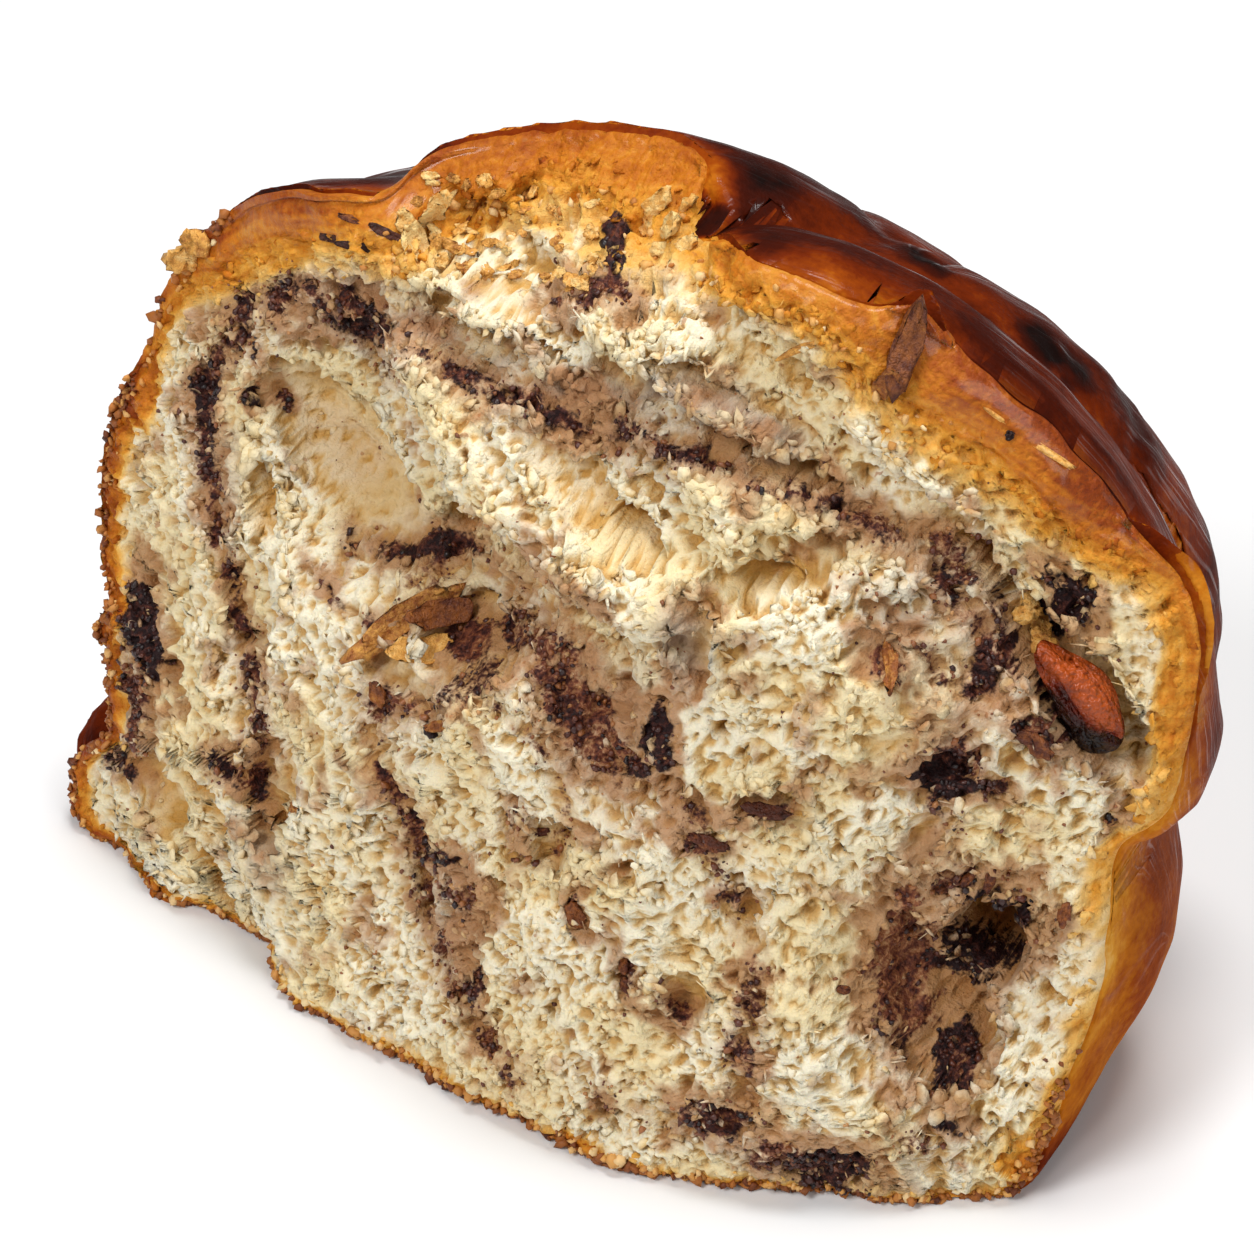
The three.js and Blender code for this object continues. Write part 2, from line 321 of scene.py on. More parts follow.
class Field:
    """A socket of a material, so that its numbers and colours are worked out in plain sums."""

    tree = None

    def __init__(self, socket):
        self.socket = socket

    @classmethod
    def node(cls, kind, settings=None, **inputs):
        made = cls.tree.nodes.new(kind)
        for key, value in (settings or {}).items():
            if key == "stops":
                ramp = made.color_ramp
                while len(ramp.elements) < len(value):
                    ramp.elements.new(0.5)
                for element, (place, colour) in zip(ramp.elements, value):
                    element.position, element.color = place, colour
            else:
                setattr(made, key, value)
        for key, value in inputs.items():
            numbered = key[0] == "i" and key[1:].isdigit()
            socket = made.inputs[int(key[1:]) if numbered else key.replace("_", " ")]
            if isinstance(value, cls):
                cls.tree.links.new(value.socket, socket)
            else:
                socket.default_value = value
        return made

    @classmethod
    def sum(cls, operation, a, b):
        return cls(cls.node("ShaderNodeMath", {"operation": operation}, i0=a, i1=b).outputs[0])

    def __add__(self, other):
        return self.sum("ADD", self, other)

    def __sub__(self, other):
        return self.sum("SUBTRACT", self, other)

    def __rsub__(self, other):
        return self.sum("SUBTRACT", other, self)

    def __mul__(self, other):
        return self.sum("MULTIPLY", self, other)

    __radd__ = __add__
    __rmul__ = __mul__

    def between(self, low, high):
        """0 below low and 1 above high, with a soft step between."""
        soft = {"interpolation_type": "SMOOTHSTEP"}
        made = self.node("ShaderNodeMapRange", soft, Value=self, From_Min=low, From_Max=high)
        return Field(made.outputs["Result"])

    def ramp(self, *stops):
        return Field(self.node("ShaderNodeValToRGB", {"stops": stops}, Fac=self).outputs["Color"])

    def stretched(self, across, along):
        scale = (across, along, 1)
        return Field(self.node("ShaderNodeMapping", None, Vector=self, Scale=scale).outputs[0])


def painted(name, kind="Fac"):
    return Field(Field.node("ShaderNodeAttribute", {"attribute_name": name}).outputs[kind])


def blend(amount, a, b):
    """Colour a where amount is 0, and b where it's 1."""
    colours = {"data_type": "RGBA", "clamp_factor": True}
    return Field(Field.node("ShaderNodeMix", colours, i0=amount, i6=a, i7=b).outputs[2])


def grain(size, detail=2.0, rough=0.55, along=None):
    """Noise from 0 to 1 over the piece, or along strands, with grains of that size in millimetres."""
    at, scale = along, 1 / size
    if at is None:
        at, scale = Field(Field.node("ShaderNodeTexCoord").outputs["Object"]), 1 / (size * MM)
    fixed = {"Scale": scale, "Detail": detail, "Roughness": rough}
    return Field(Field.node("ShaderNodeTexNoise", None, Vector=at, **fixed).outputs["Fac"])


def new_finish(name):
    made = bpy.data.materials.new(name)
    made.use_nodes = True
    Field.tree = made.node_tree
    return made


def shade(colour, roughness, bump=None, depth=0.1, coat=None, **fixed):
    """Fills in the material's shader: fields where it varies, numbers where it doesn't."""
    shader = Field.tree.nodes["Principled BSDF"]
    for name, value in (("Base Color", colour), ("Roughness", roughness), ("Coat Weight", coat)):
        if isinstance(value, Field):
            Field.tree.links.new(value.socket, shader.inputs[name])
        elif value is not None:
            shader.inputs[name].default_value = value
    if bump is not None:
        made = Field.node("ShaderNodeBump", None, Height=bump, Distance=depth * MM, Strength=1.0)
        Field.tree.links.new(made.outputs["Normal"], shader.inputs["Normal"])
    for key, value in fixed.items():
        shader.inputs[key.replace("_", " ")].default_value = value


def srgb(*colour):
    """Linear light of a colour given in steps of a screen, from 0 to 255."""
    linear = [c / 3294.6 if c <= 10 else ((c / 255 + 0.055) / 1.055) ** 2.4 for c in colour]
    return (*linear, 1.0)


def tones(places, *colours):
    return [(place, srgb(*colour)) for place, colour in zip(places, colours)]


# How the crust is baked: dark on the ridges of the strands, golden between them, and pale where
# it was pulled apart in the oven and by the tear.
PULLED = (  # degrees round the torn side, and how wide the band from pale to brown is there, mm
    (0, 9), (15, 8), (30, 8), (42, 10), (52, 14), (62, 12), (72, 10), (85, 12), (100, 12), (112, 11),
    (125, 12), (140, 10), (160, 5), (180, 2.2), (200, 2), (215, 2.5), (270, 3), (315, 4),
    (330, 7), (345, 12), (352, 12), (360, 9),
)
BURNT = (  # x, y, z, radius, amount
    (26, 29, 73.5, 3.4, 0.35), (28.5, 30, 70, 2.8, 0.3), (14.5, 30, 78.6, 3.0, 0.35),
    (9, 33, 80, 4, 0.15), (22, 24, 77, 4, 0.15), (33, 33, 62, 6, 0.15), (36, 38, 48, 7, 0.12),
    (31, 25, 72, 3.4, 0.2), (-1, 27, 84, 4, 0.2), (-36, 26, 78, 8, 0.22), (-47, 22, 73, 7, 0.15),
    (-62, 18, 38, 7, 0.25), (-61, 24, 52, 8, 0.25),
)
WRINKLED = BURNT[:6]  # where the skin also shrank
FILLING = (((-6.3, 88), (1.5, 4.6), 6), ((-0.3, 92.4), (6.0, 1.9), -2))  # x, z, half size, turn
STRAND_RADIUS = 14.0
NEXT_STRAND = 40.0  # keeps the streaks of one strand apart from the next one's
INNER = np.array([0.0, 34.0, 26.0])  # a point inside the loaf, which no strand turns its back to

def full_bake(p):
    """How dark the skin of the loaf is baked at points p, without its ridges."""
    return 0.47 + 0.17 * smooth((p[:, 2] - 5) / 75) + 0.09 * lumps(p, 13, 90) + 0.06 * lumps(p, 5, 91)


def golden(past, width, full, p):
    """Baking that rises from next to nothing at the crumb's edge to its full value past it."""
    t = (past + 1.2) / (width + 1.2) + 0.10 * lumps(p, 6, 92) + 0.05 * lumps(p, 2.5, 93)
    t = np.clip(t, 0, 1)
    return np.where(t < 0.3, t / 0.3 * 0.26, 0.26 + (full - 0.26) * (t - 0.3) / 0.7)


points = points_of(crust_mesh)
outward = points_of(crust_mesh, "normal")
level = spread(points, ends, 260, 0.6)
ridge = np.clip((dots(points - level, outward) - 1.2) / 3.0, -1, 1)
nearest = np.full(len(points), 1e9)
next_nearest = np.full(len(points), 1e9)
way = np.zeros((len(points), 3))
drawn_out = np.zeros(len(points))
for number, path in enumerate(STRANDS):
    path = np.array(path, float)
    steps = np.linspace(0, len(path) - 1, 36)
    line = np.stack([np.interp(steps, range(len(path)), path[:, c]) for c in range(3)], -1)
    for _ in range(4):
        line[1:-1] += 0.5 * ((line[:-2] + line[2:]) / 2 - line[1:-1])
    length = np.concatenate([[0], np.cumsum(np.linalg.norm(np.diff(line, axis=0), axis=1))])
    tangent = unit(np.gradient(line, axis=0))
    gap = np.linalg.norm(points[:, None, :] - line[None, ::2, :], axis=2)
    k = 2 * np.argmin(gap, axis=1)
    distance, d, t = gap.min(axis=1), points - line[k], tangent[k]
    up_side = unit(aside(line[k] - INNER, t))
    angle = np.arctan2(dots(d, np.cross(t, up_side)), dots(d, up_side))
    here = np.stack([
        angle * STRAND_RADIUS, length[k] + dots(d, t), np.full(len(points), NEXT_STRAND * number)
    ], -1)
    nearer = distance < nearest
    way = np.where(nearer[:, None], here, way)
    radial = np.linalg.norm(aside(d, t), axis=1)
    drawn_out = np.where(nearer, smooth((radial - 5) / 9), drawn_out)
    next_nearest = np.where(nearer, nearest, np.minimum(next_nearest, distance))
    nearest = np.where(nearer, distance, nearest)
drawn_out *= smooth((next_nearest - nearest) / 2.5)

x, y, z = points.T
turn = np.mod(round_middle(x, z)[0], 2 * math.pi)
pulled = np.interp(np.degrees(turn), *zip(*PULLED))
off_torn = np.hypot(np.maximum(y - torn_side(x, z), 0), np.maximum(-from_rim(x, z), 0))
at_rim = rim_reach[np.int32(np.degrees(turn) * 2) % DIRECTIONS]
rim_x, rim_z = (m + at_rim * f(turn) for m, f in zip(TORN_MIDDLE, (np.cos, np.sin)))
past = past_crumb(rim_x, rim_z) + off_torn
bake = full_bake(points) + 0.2 * ridge + 0.1 * np.clip(outward[:, 2], -0.2, 1)
bake = golden(past, pulled, bake, points)
for *at, radius, amount in BURNT:
    reach = np.linalg.norm(points - np.array(at), axis=1) / radius
    bake += amount * smooth(1.25 - reach + 0.3 * lumps(points, 1.8, 94))
# The filling shows between two strands at the top. It's placed as the torn side's hollows are.
back = y - bulging(x, z)
for at, half, tilt in FILLING:
    d = oval(x + SLANT_X * back, z + SLANT_Z * back, at, half, tilt) - 0.3 * lumps(points, 1.6, 102)
    filling = smooth((1.25 - d) / 0.35) * smooth((32 - back) / 4) * (outward[:, 2] > -0.2)
    bake += (0.86 + 0.14 * lumps(points, 1.3, 103) - bake) * filling
underside = smooth((1.5 - z) / 1.5) * smooth((-outward[:, 2] - 0.2) / 0.5)
bake = bake + (0.5 + 0.12 * lumps(points, 9, 95) - bake) * underside
gloss = smooth((z - 8) / 30) * smooth(past / pulled * 1.6) * (0.75 + 0.25 * lumps(points, 7, 96))
gloss *= 1 - 0.8 * smooth((-x - 52) / 6) * smooth((62 - z) / 10)
paint(
    crust_mesh, bake=np.clip(bake, 0, 1.1), gloss=np.clip(gloss, 0, 1), way=way, drawn_out=drawn_out
)

wrinkle = sum(
    smooth(1.3 - np.linalg.norm(points - np.array(at), axis=1) / radius)
    for *at, radius, _ in WRINKLED
)
rough_side = smooth((-x - 50) / 8) * smooth((64 - z) / 8) + 0.4 * underside
relief = 0.3 * wrinkle * lumps(points, 1.7, 97) + 0.12 * lumps(points, 3.2, 98)
relief += rough_side * (0.45 * lumps(points, 1.9, 99) + 0.3 * lumps(points, 1.1, 100))
stretch = lumps(way * np.array([1 / 1.6, 1 / 14.0, 1.0]), 1.0, 101)
relief += 0.16 * stretch * drawn_out * smooth(past / pulled)
relief *= np.where(front, 0, 1) * smooth(off_torn / 2)
points += outward * relief[:, None]
points[:, 2] = np.maximum(points[:, 2], 0)
put_points(crust_mesh, points)

crust_finish = new_finish("crust")
gloss_in = painted("gloss")
strands_way = painted("way", "Vector")
streaks = grain(1.0, 2, 0.6, strands_way.stretched(1.6, 0.11))
hairs = grain(1.0, 2, 0.6, strands_way.stretched(4.5, 0.35))
blisters = grain(0.9, 2)
drawn_in = painted("drawn_out")
baked = painted("bake") + 0.22 * drawn_in * (streaks - 0.5) + 0.16 * (grain(4.5, 3) - 0.5)
baked = baked + 0.08 * drawn_in * (hairs - 0.5)
baked = baked + 0.16 * (blisters - 0.5)
BAKED = tones(
    (0.0, 0.1, 0.2, 0.32, 0.45, 0.58, 0.74, 1.0),
    (232, 208, 160), (224, 180, 102), (210, 144, 48), (184, 106, 20), (142, 62, 6), (104, 34, 4),
    (62, 16, 4), (22, 9, 7),
)
crust_colour = (0.5 + 1.12 * (baked - 0.5)).ramp(*BAKED)
shine = 0.04 + 0.8 * streaks.between(0.52, 0.7)
skin_bump = 0.5 * grain(0.35, 1) + blisters + drawn_in * (1.2 * hairs + 1.2 * streaks)
shade(
    crust_colour, 0.8 - 0.25 * gloss_in, skin_bump, 0.12,
    coat=gloss_in * shine, Coat_Roughness=0.13, Specular_IOR_Level=0.03,
)
finished("crust", crust_mesh, crust_finish)


# ==== Crumb ==================================================================================
# The soft inside, torn open: thin walls of dough round bubbles from a fraction of a millimetre
# to several, and a swirl of cocoa paste that was rolled in before the strands were laid.
CRUMB_CELLS = 296  # along each side of the sheet it is made from
SKIRT = 4.0  # how far its edge runs back into the crust, mm
BURIED = 0.05  # how far its edge stays inside the rim, mm
BACK = ((0.96, 9), (0.85, 16), (0.65, 18), (0.4, 18), (0.12, 18))  # share of the reach, depth
FRONT_CLEAR, BACK_CLEAR = 3.6, 3.4  # how far in front of the skin behind it both stay, mm
BUBBLES = ((3.4, 1.0, 31), (1.7, 0.75, 47), (0.95, 0.5, 63))  # size and depth, mm, and a seed

PITS = (  # hollows with a torn lip: x, z, half width, half height, turn, depth, and how smooth
    (-33, 56, 11.5, 5.4, -16, 3.0, 0.85), (-43.6, 47.5, 1.9, 4.6, 12, 3.0, 0.6),
    (-16.5, 46, 7.0, 3.8, 40, 5.0, 0.8), (-25, 39.8, 4.2, 2.4, 15, 2.0, 0.6),
    (-7, 64.2, 9.5, 2.3, -17, 1.8, 0.7), (-0.4, 62.4, 2.6, 2.3, 0, 3.0, 0.6),
    (11.5, 61.3, 3.2, 1.1, 0, 3.0, 0.4), (21.5, 54.6, 2.3, 2.1, 0, 1.8, 0.7),
    (-6, 31, 2.5, 2.8, 20, 2.8, 0.6), (9, 20.6, 2.3, 2.0, 0, 2.6, 0.5),
    (14.7, 40.2, 2.9, 0.9, 8, 2.6, 0.3), (17.2, 38.8, 1.9, 1.4, 0, 1.8, 0.5),
    (-40.4, 15, 1.7, 2.1, 10, 2.6, 0.4), (-42, 18.4, 2.8, 1.4, 15, 2.6, 0.3),
    (-56, 10.8, 5.0, 3.6, -20, 2.2, 0.6), (-48, 6.2, 4.0, 1.4, -35, 2.0, 0.3),
    (30.6, 21.6, 4.3, 8.6, 16, 5.0, 0.2), (34.2, 28, 3.5, 4.0, 8, 12.0, 0.3),
    (37.6, 52, 11.0, 3.2, -57, 6.0, 0.6), (31, 62.5, 5.0, 0.9, -50, 5.0, 0.2),
    (12.2, 69.3, 4.4, 1.1, -12, 3.4, 0.2), (2.6, 74.9, 5.2, 1.1, -12, 2.4, 0.4),
    (-17.6, 78, 4.0, 2.3, 5, 1.6, 0.6), (6.2, 53, 1.5, 4.2, 22, 2.6, 0.4),
    (24, 46, 2.0, 1.2, 0, 1.2, 0.5), (-2, 25, 2.0, 1.6, 0, 1.4, 0.4),
    (27.4, 36.6, 1.6, 3.0, 5, 1.6, 0.6), (33.5, 17, 1.5, 4.6, -8, 2.0, 0.5),
    (-21.5, 71.8, 6.0, 1.0, -4, 2.0, 0.4), (-11.5, 73.2, 4.6, 1.2, -22, 2.4, 0.4),
)
SEAMS = {  # lines where layers meet: points, width, depth
    "swirl": (((-50.5, 44), (-51.5, 50), (-52, 55), (-49.5, 61), (-46.5, 65.5), (-42, 68),
               (-36, 69.6), (-30, 69.8), (-25, 69.8), (-20, 69.8), (-14, 70.2), (-8, 70.2), (-3, 70.6),
               (2, 71.2), (7, 71), (12, 70), (17, 68), (21, 65.5), (25, 63), (28, 60.5),
               (30, 57.5), (31, 54), (30.5, 50), (29, 46), (28, 43)), 1.6, 1.7),
    "film": (((-33, 70.5), (-27, 71.6), (-21, 71.2), (-15, 71.2), (-9, 72.6), (-3, 74),
              (3, 75.3), (8, 75.2), (12, 73.2)), 2.2, 2.5),
    "left": (((-50, 45), (-48.5, 41), (-46.5, 38.5), (-44.5, 34), (-43, 30), (-41.8, 26),
              (-41, 22), (-42, 19.5), (-46, 19.5)), 1.3, 1.6),
    "ring": (((-22, 38), (-26, 36.5), (-28, 34), (-26.5, 31), (-24, 28.5), (-21.5, 25.5),
              (-20, 22), (-19, 18), (-17, 14.5), (-14.5, 11.5), (-12, 9), (-9, 6.5)), 1.4, 1.2),
    "roll": (((-22, 38.5), (-18, 40), (-13, 41), (-9, 40.5), (-5.5, 37.5), (-4, 33), (-6, 29),
              (-10, 28)), 0.9, 0.9),
    "middle": (((4, 41), (7, 39.5), (9.5, 37.5), (11, 34), (13, 30.5), (14, 27), (15, 23),
                (14, 19), (14, 14), (14.5, 10), (13, 7)), 1.0, 0.9),
    "side": (((41.5, 44), (42.3, 42), (43, 39.5), (43, 36)), 0.5, 2.2),
    "chunk": (((28, 41), (29.5, 38), (30, 35), (30.5, 33)), 0.9, 1.0),
    "smear": (((18, 61), (21, 59), (24, 56.5), (26.5, 54), (29, 50.5)), 1.0, 0.7),
    "band": (((-32, 50.3), (-28, 50.8), (-25, 52), (-22, 53.5), (-19, 55), (-16.5, 55.5)), 1.2, 0.6),
    "flap": (((-29, 42.5), (-24, 45.3), (-18.5, 48.8)), 0.8, -0.8),
}
SEAM_COCOA = (  # cocoa along a line: its strength, darkness and width
    ("swirl", 1.0, 0.9, 1.45), ("left", 1.0, 0.8, 1.5), ("ring", 0.85, 0.6, 1.6),
    ("roll", 0.6, 0.5, 0.9), ("middle", 0.65, 0.55, 1.0), ("side", 0.9, 0.7, 0.5),
    ("chunk", 0.85, 0.7, 1.0), ("smear", 0.65, 0.5, 1.1), ("band", 1.0, 0.95, 1.2),
    ("flap", 0.9, 0.7, 0.9),
)
FILMS = (  # greyish films of dough that cocoa shows through: place, half size, turn, strength
    ((5.5, 53), (2.6, 5), 20, 0.9), ((-48, 49), (2.2, 7), 5, 0.8), ((-16, 20), (4, 7), 15, 0.6),
    ((-3, 46), (6, 8), -20, 0.8), ((24, 56), (4, 7), 25, 0.6), ((-40, 13), (4, 4), 0, 0.7),
)
COCOA_AND_HOLE_SHADE = (  # patches of cocoa, one of them painted shadow: x, z, half width, half height, turn, strength, darkness
    (-5, 46.5, 8.0, 4.0, -50, 0.8, 0.5), (-12.5, 49, 1.4, 1.6, 0, 0.9, 0.75),
    (-6, 45, 2.4, 1.6, -40, 0.8, 0.7), (-1, 43, 3.4, 2.0, 20, 0.75, 0.4),
    (3.8, 44.6, 1.7, 3.6, 18, 1.0, 0.95), (2.4, 41.6, 2.0, 1.2, 0, 1.0, 0.9),
    (-47, 19.8, 2.3, 0.9, 0, 1.0, 0.9), (-41, 18.6, 1.3, 1.5, 0, 1.0, 0.9),
    (-18, 24.3, 2.7, 1.3, 5, 0.95, 0.85), (-15.5, 21.6, 2.4, 2.0, 0, 0.6, 0.4),
    (-58.5, 27, 2.4, 5.4, 8, 1.0, 0.95), (-60, 19, 2.4, 4.6, 12, 0.8, 0.6),
    (-61, 12, 1.8, 2.4, 0, 0.8, 0.8),
    (12.6, 7.8, 3.4, 2.6, 0, 0.85, 0.7), (22.5, 3.6, 5.0, 2.4, -12, 0.95, 0.85),
    (17, 5, 3.0, 1.8, 0, 0.7, 0.5), (-7.5, 82, 5.0, 1.5, 28, 0.8, 0.6),
    (-6.2, 86.6, 1.7, 3.8, 6, 1.0, 0.85), (-51.6, 54.6, 1.8, 2.6, 0, 0.9, 0.85),
    (-50.3, 46, 1.3, 3.4, 0, 0.8, 0.6), (-45.2, 57.4, 0.9, 1.2, 0, 1.0, 1.0),
    (-46.8, 61.5, 0.5, 1.6, 10, 0.9, 0.9), (-41.5, 58.6, 0.9, 0.7, 0, 0.9, 0.8),
    (23.1, 53.7, 1.1, 2.9, 25, 0.8, 0.45), (28.4, 43, 3.0, 1.5, -4, 1.0, 1.0),
    (29.3, 45.6, 2.2, 2.2, 20, 0.7, 0.35), (32.5, 42.2, 2.0, 1.0, -8, 0.8, 0.7),
    # The first patch on the next line is painted shadow: black in the deep hole on the right.
    (34.6, 28.4, 3.4, 4.2, -12, 1.0, 1.0), (29, 25.5, 3.8, 7.4, 0, 0.95, 0.42),
    (33, 17.5, 1.9, 5.4, -14, 0.9, 0.85), (28, 18, 2.2, 1.2, -15, 0.7, 0.7),
    (31.4, 33.4, 1.6, 1.2, 20, 0.7, 0.6), (32.5, 9.4, 2.0, 1.1, -20, 0.9, 0.9),
    (38, 50.5, 5.4, 2.2, -60, 1.0, 0.9), (35.5, 47, 2.4, 0.9, -28, 0.9, 0.6),
    (36.6, 60, 3.2, 1.2, -60, 1.0, 0.95), (31.6, 61.6, 4.0, 0.9, -50, 0.7, 0.8),
    (32.4, 56.5, 1.3, 4.6, 18, 0.85, 0.75), (29.5, 58, 1.8, 3.6, 20, 0.5, 0.4),
    (12, 69, 4.2, 1.3, -12, 0.8, 0.7), (20, 66.5, 3.4, 1.6, -20, 0.7, 0.55),
    (-12, 50, 2.4, 2.2, 0, 0.7, 0.5), (-31, 67.3, 2.0, 1.4, 0, 0.5, 0.5),
    (27.5, 64.3, 3.4, 1.6, -38, 0.7, 0.5), (-16, 43.5, 5.0, 2.2, 40, 0.7, 0.7),
    (-13.2, 14, 1.1, 2.2, 10, 0.8, 0.75), (30, 7, 2.6, 1.6, -30, 0.55, 0.4),
    (4, 7.5, 5.0, 1.6, -12, 0.35, 0.35), (14.8, 20.4, 1.0, 1.6, 0, 0.7, 0.6),
    (8.4, 19.6, 1.8, 1.3, 20, 0.7, 0.55), (3.2, 21.4, 0.9, 1.8, 10, 0.8, 0.6),
    (14.9, 14.6, 0.8, 2.4, 0, 0.7, 0.6), (9.4, 35.8, 2.0, 0.8, 5, 0.9, 0.65),
    (14.2, 39.6, 2.6, 0.9, 14, 0.9, 0.7), (-10, 32, 1.6, 1.6, 0, 0.6, 0.4),
    (-2.4, 25.6, 1.2, 1.8, 15, 0.8, 0.6),
    (12, 31.4, 1.3, 0.9, -5, 0.8, 0.6), (-34, 44, 3.0, 0.8, -30, 0.6, 0.7),
    (-17.5, 47, 3.4, 2.2, 30, 0.95, 0.55), (-25.5, 51.6, 4.6, 1.1, 12, 0.95, 0.85),
    (-20.3, 54, 3.2, 1.5, 35, 0.9, 0.75), (-22, 50.8, 5.5, 3.0, 20, 0.5, 0.3),
)


def seam_distance(x, z, points):
    """Distance to a line through the points."""
    best = np.full(x.shape, 1e9)
    for (x0, z0), (x1, z1) in zip(points, points[1:]):
        dx, dz = x1 - x0, z1 - z0
        t = np.clip(((x - x0) * dx + (z - z0) * dz) / (dx * dx + dz * dz), 0, 1)
        best = np.minimum(best, np.hypot(x - x0 - t * dx, z - z0 - t * dz))
    return best


def bubbles(p, size, seed):
    """Cells of dough round bubbles of that size: 0 on a wall to 1 inside, and a number per cell."""
    q = p / size
    cell = np.floor(q)
    first = np.full(len(p), 9.0)
    second = np.full(len(p), 9.0)
    own = np.zeros(len(p))
    for step in product((-1, 0, 1), repeat=3):
        i, j, k = (cell + step).T
        askew = [0.45 * lattice(i, j, k, seed + s) for s in (1, 2, 3)]
        at = np.stack([m + 0.5 + a for m, a in zip((i, j, k), askew)], -1)
        d = np.linalg.norm(q - at, axis=1)
        nearer = d < first
        second = np.where(nearer, first, np.minimum(second, d))
        own = np.where(nearer, lattice(i, j, k, seed + 4), own)
        first = np.where(nearer, d, first)
    return smooth((second - first) / 0.42), own * 0.5 + 0.5


sheet = bmesh.new()
bmesh.ops.create_grid(sheet, x_segments=CRUMB_CELLS, y_segments=CRUMB_CELLS, size=1.0)
rings = []
edges = [e for e in sheet.edges if e.is_boundary]
for _ in range(1 + len(BACK)):
    grown = bmesh.ops.extrude_edge_only(sheet, edges=edges)["geom"]
    rings.append([g for g in grown if isinstance(g, bmesh.types.BMVert)])
    edges = [g for g in grown if isinstance(g, bmesh.types.BMEdge) and g.is_boundary]
bmesh.ops.edgeloop_fill(sheet, edges=edges)
sheet.verts.index_update()
rings = [np.array([v.index for v in ring]) for ring in rings]
ring_index = np.concatenate(rings)
crumb_mesh = bpy.data.meshes.new("crumb")
sheet.to_mesh(crumb_mesh)
sheet.free()

uv = np.zeros(len(crumb_mesh.vertices) * 3)
crumb_mesh.vertices.foreach_get("co", uv)
u, v = uv.reshape(-1, 3)[:, 0], uv.reshape(-1, 3)[:, 1]
across, up = u * np.sqrt(1 - v * v / 2), v * np.sqrt(1 - u * u / 2)
turn = np.mod(np.arctan2(up, across), 2 * math.pi)
reach = rim_at(turn)
share = np.hypot(across, up) * (reach - BURIED)
x, z = TORN_MIDDLE[0] + share * np.cos(turn), TORN_MIDDLE[1] + share * np.sin(turn)
inward = reach - share
sheet_y = torn_side(x, z)
flat = np.stack([x, sheet_y * 0.3, z], -1)

# Hollows and seams are placed as on the bulge without folds. They run down and to the left into
# the bread, so what lies deeper is looked up higher and further right. Torn lips wander a little.
folded = sheet_y - bulging(x, z)
wx = x + SLANT_X * folded + 0.9 * lumps(flat, 4.3, 5) + 0.45 * lumps(flat, 1.7, 6)
wz = z + SLANT_Z * folded + 0.9 * lumps(flat, 4.3, 7) + 0.45 * lumps(flat, 1.7, 8)
sunk, glassy, pit = np.zeros((3, len(x)))
for px, pz, wide, high, tilt, depth, even in PITS:
    d = oval(wx, wz, (px, pz), (wide, high), tilt)
    within = smooth((1.12 - d) / 0.3) * (0.62 + 0.38 * smooth(1 - d))
    lip = np.exp(-((d - 1.16) / 0.12) ** 2) * min(0.5, 0.12 * depth)
    sunk += depth * within - lip
    glassy = np.maximum(glassy, even * smooth((1.05 - d) / 0.25))
    pit = np.maximum(pit, within * min(1, depth / 3.5))
for points, width, depth in SEAMS.values():
    d = seam_distance(wx, wz, points)
    sunk += depth * np.exp(-((d / width) ** 2)) * (0.7 + 0.3 * lumps(flat, 3, 9))
sheet_p = np.stack([x, sheet_y + sunk * smooth((inward - 0.3) / 1.5), z], -1)
put_points(crumb_mesh, sheet_p)
ends = neighbours(crumb_mesh)
slope = spread(points_of(crumb_mesh, "normal"), ends, 2)
facing = unit(spread(points_of(crumb_mesh, "normal"), ends, 6))
if facing[len(facing) // 2][1] > 0:
    facing, slope = -facing, -slope

# Crumb: large, middle and small bubbles, each set a little askew, shallower where it's smooth.
askew = np.stack([lumps(flat, 2.3, 10 + s) for s in (1, 2, 3)], -1)
fine_askew = np.stack([lumps(flat, 0.9, 20 + s) for s in (1, 2, 3)], -1)
relief, openness = np.zeros((2, len(x)))
for size, deep, seed in BUBBLES:
    inner, own = bubbles(sheet_p + 0.35 * size * askew + 0.3 * size * fine_askew, size, seed)
    cell = inner * (0.25 + 1.5 * own ** 3)
    relief -= deep * cell
    openness += cell * deep / 2.25
relief += 0.3 * lumps(sheet_p, 0.7, 70) + 0.45 * lumps(sheet_p, 1.4, 71)
relief += 0.5 * (0.5 - np.abs(lumps(sheet_p, 1.9, 72))) + 0.3 * (0.5 - np.abs(lumps(sheet_p, 1.0, 73)))
calm = (1 - 0.8 * glassy) * (0.35 + 0.65 * smooth(inward / 4))
degrees = np.degrees(turn)
past = past_crumb(x, z) + 1.3 * smooth((degrees - 160) / 10) * smooth((232 - degrees) / 12)
peeled_top = smooth((degrees - 66) / 8) * smooth((114 - degrees) / 8)
pulled_flat = smooth((past - 1.2) / 2.6) * smooth((np.interp(degrees, *zip(*PULLED)) - 4) / 3)
pulled_flat *= 1 - peeled_top * smooth((7 - past) / 3)
calm *= 1 - 0.9 * pulled_flat
cover = 0.35 * smooth(1 - inward / 2.5)
final = sheet_p + facing * (relief * calm + cover)[:, None]
final[:, 1] += 1.5 * np.clip(1 - inward / 2.6, 0, 1) ** 2
final[:, 2] = np.maximum(final[:, 2], 0.05)


def room_behind(x, z, y):
    """How far behind the points the loaf's skin is, in millimetres."""
    hits = [loaf.ray_cast((a, 200, b), (0, -1, 0))[0] for a, b in zip(x, z)]
    return np.array([99.0 if hit is None else hit.y for hit in hits]) - y


behind_it = room_behind(x, z, sheet_y)
final[:, 1] = np.minimum(final[:, 1], sheet_y + np.maximum(behind_it - FRONT_CLEAR, 0.2))

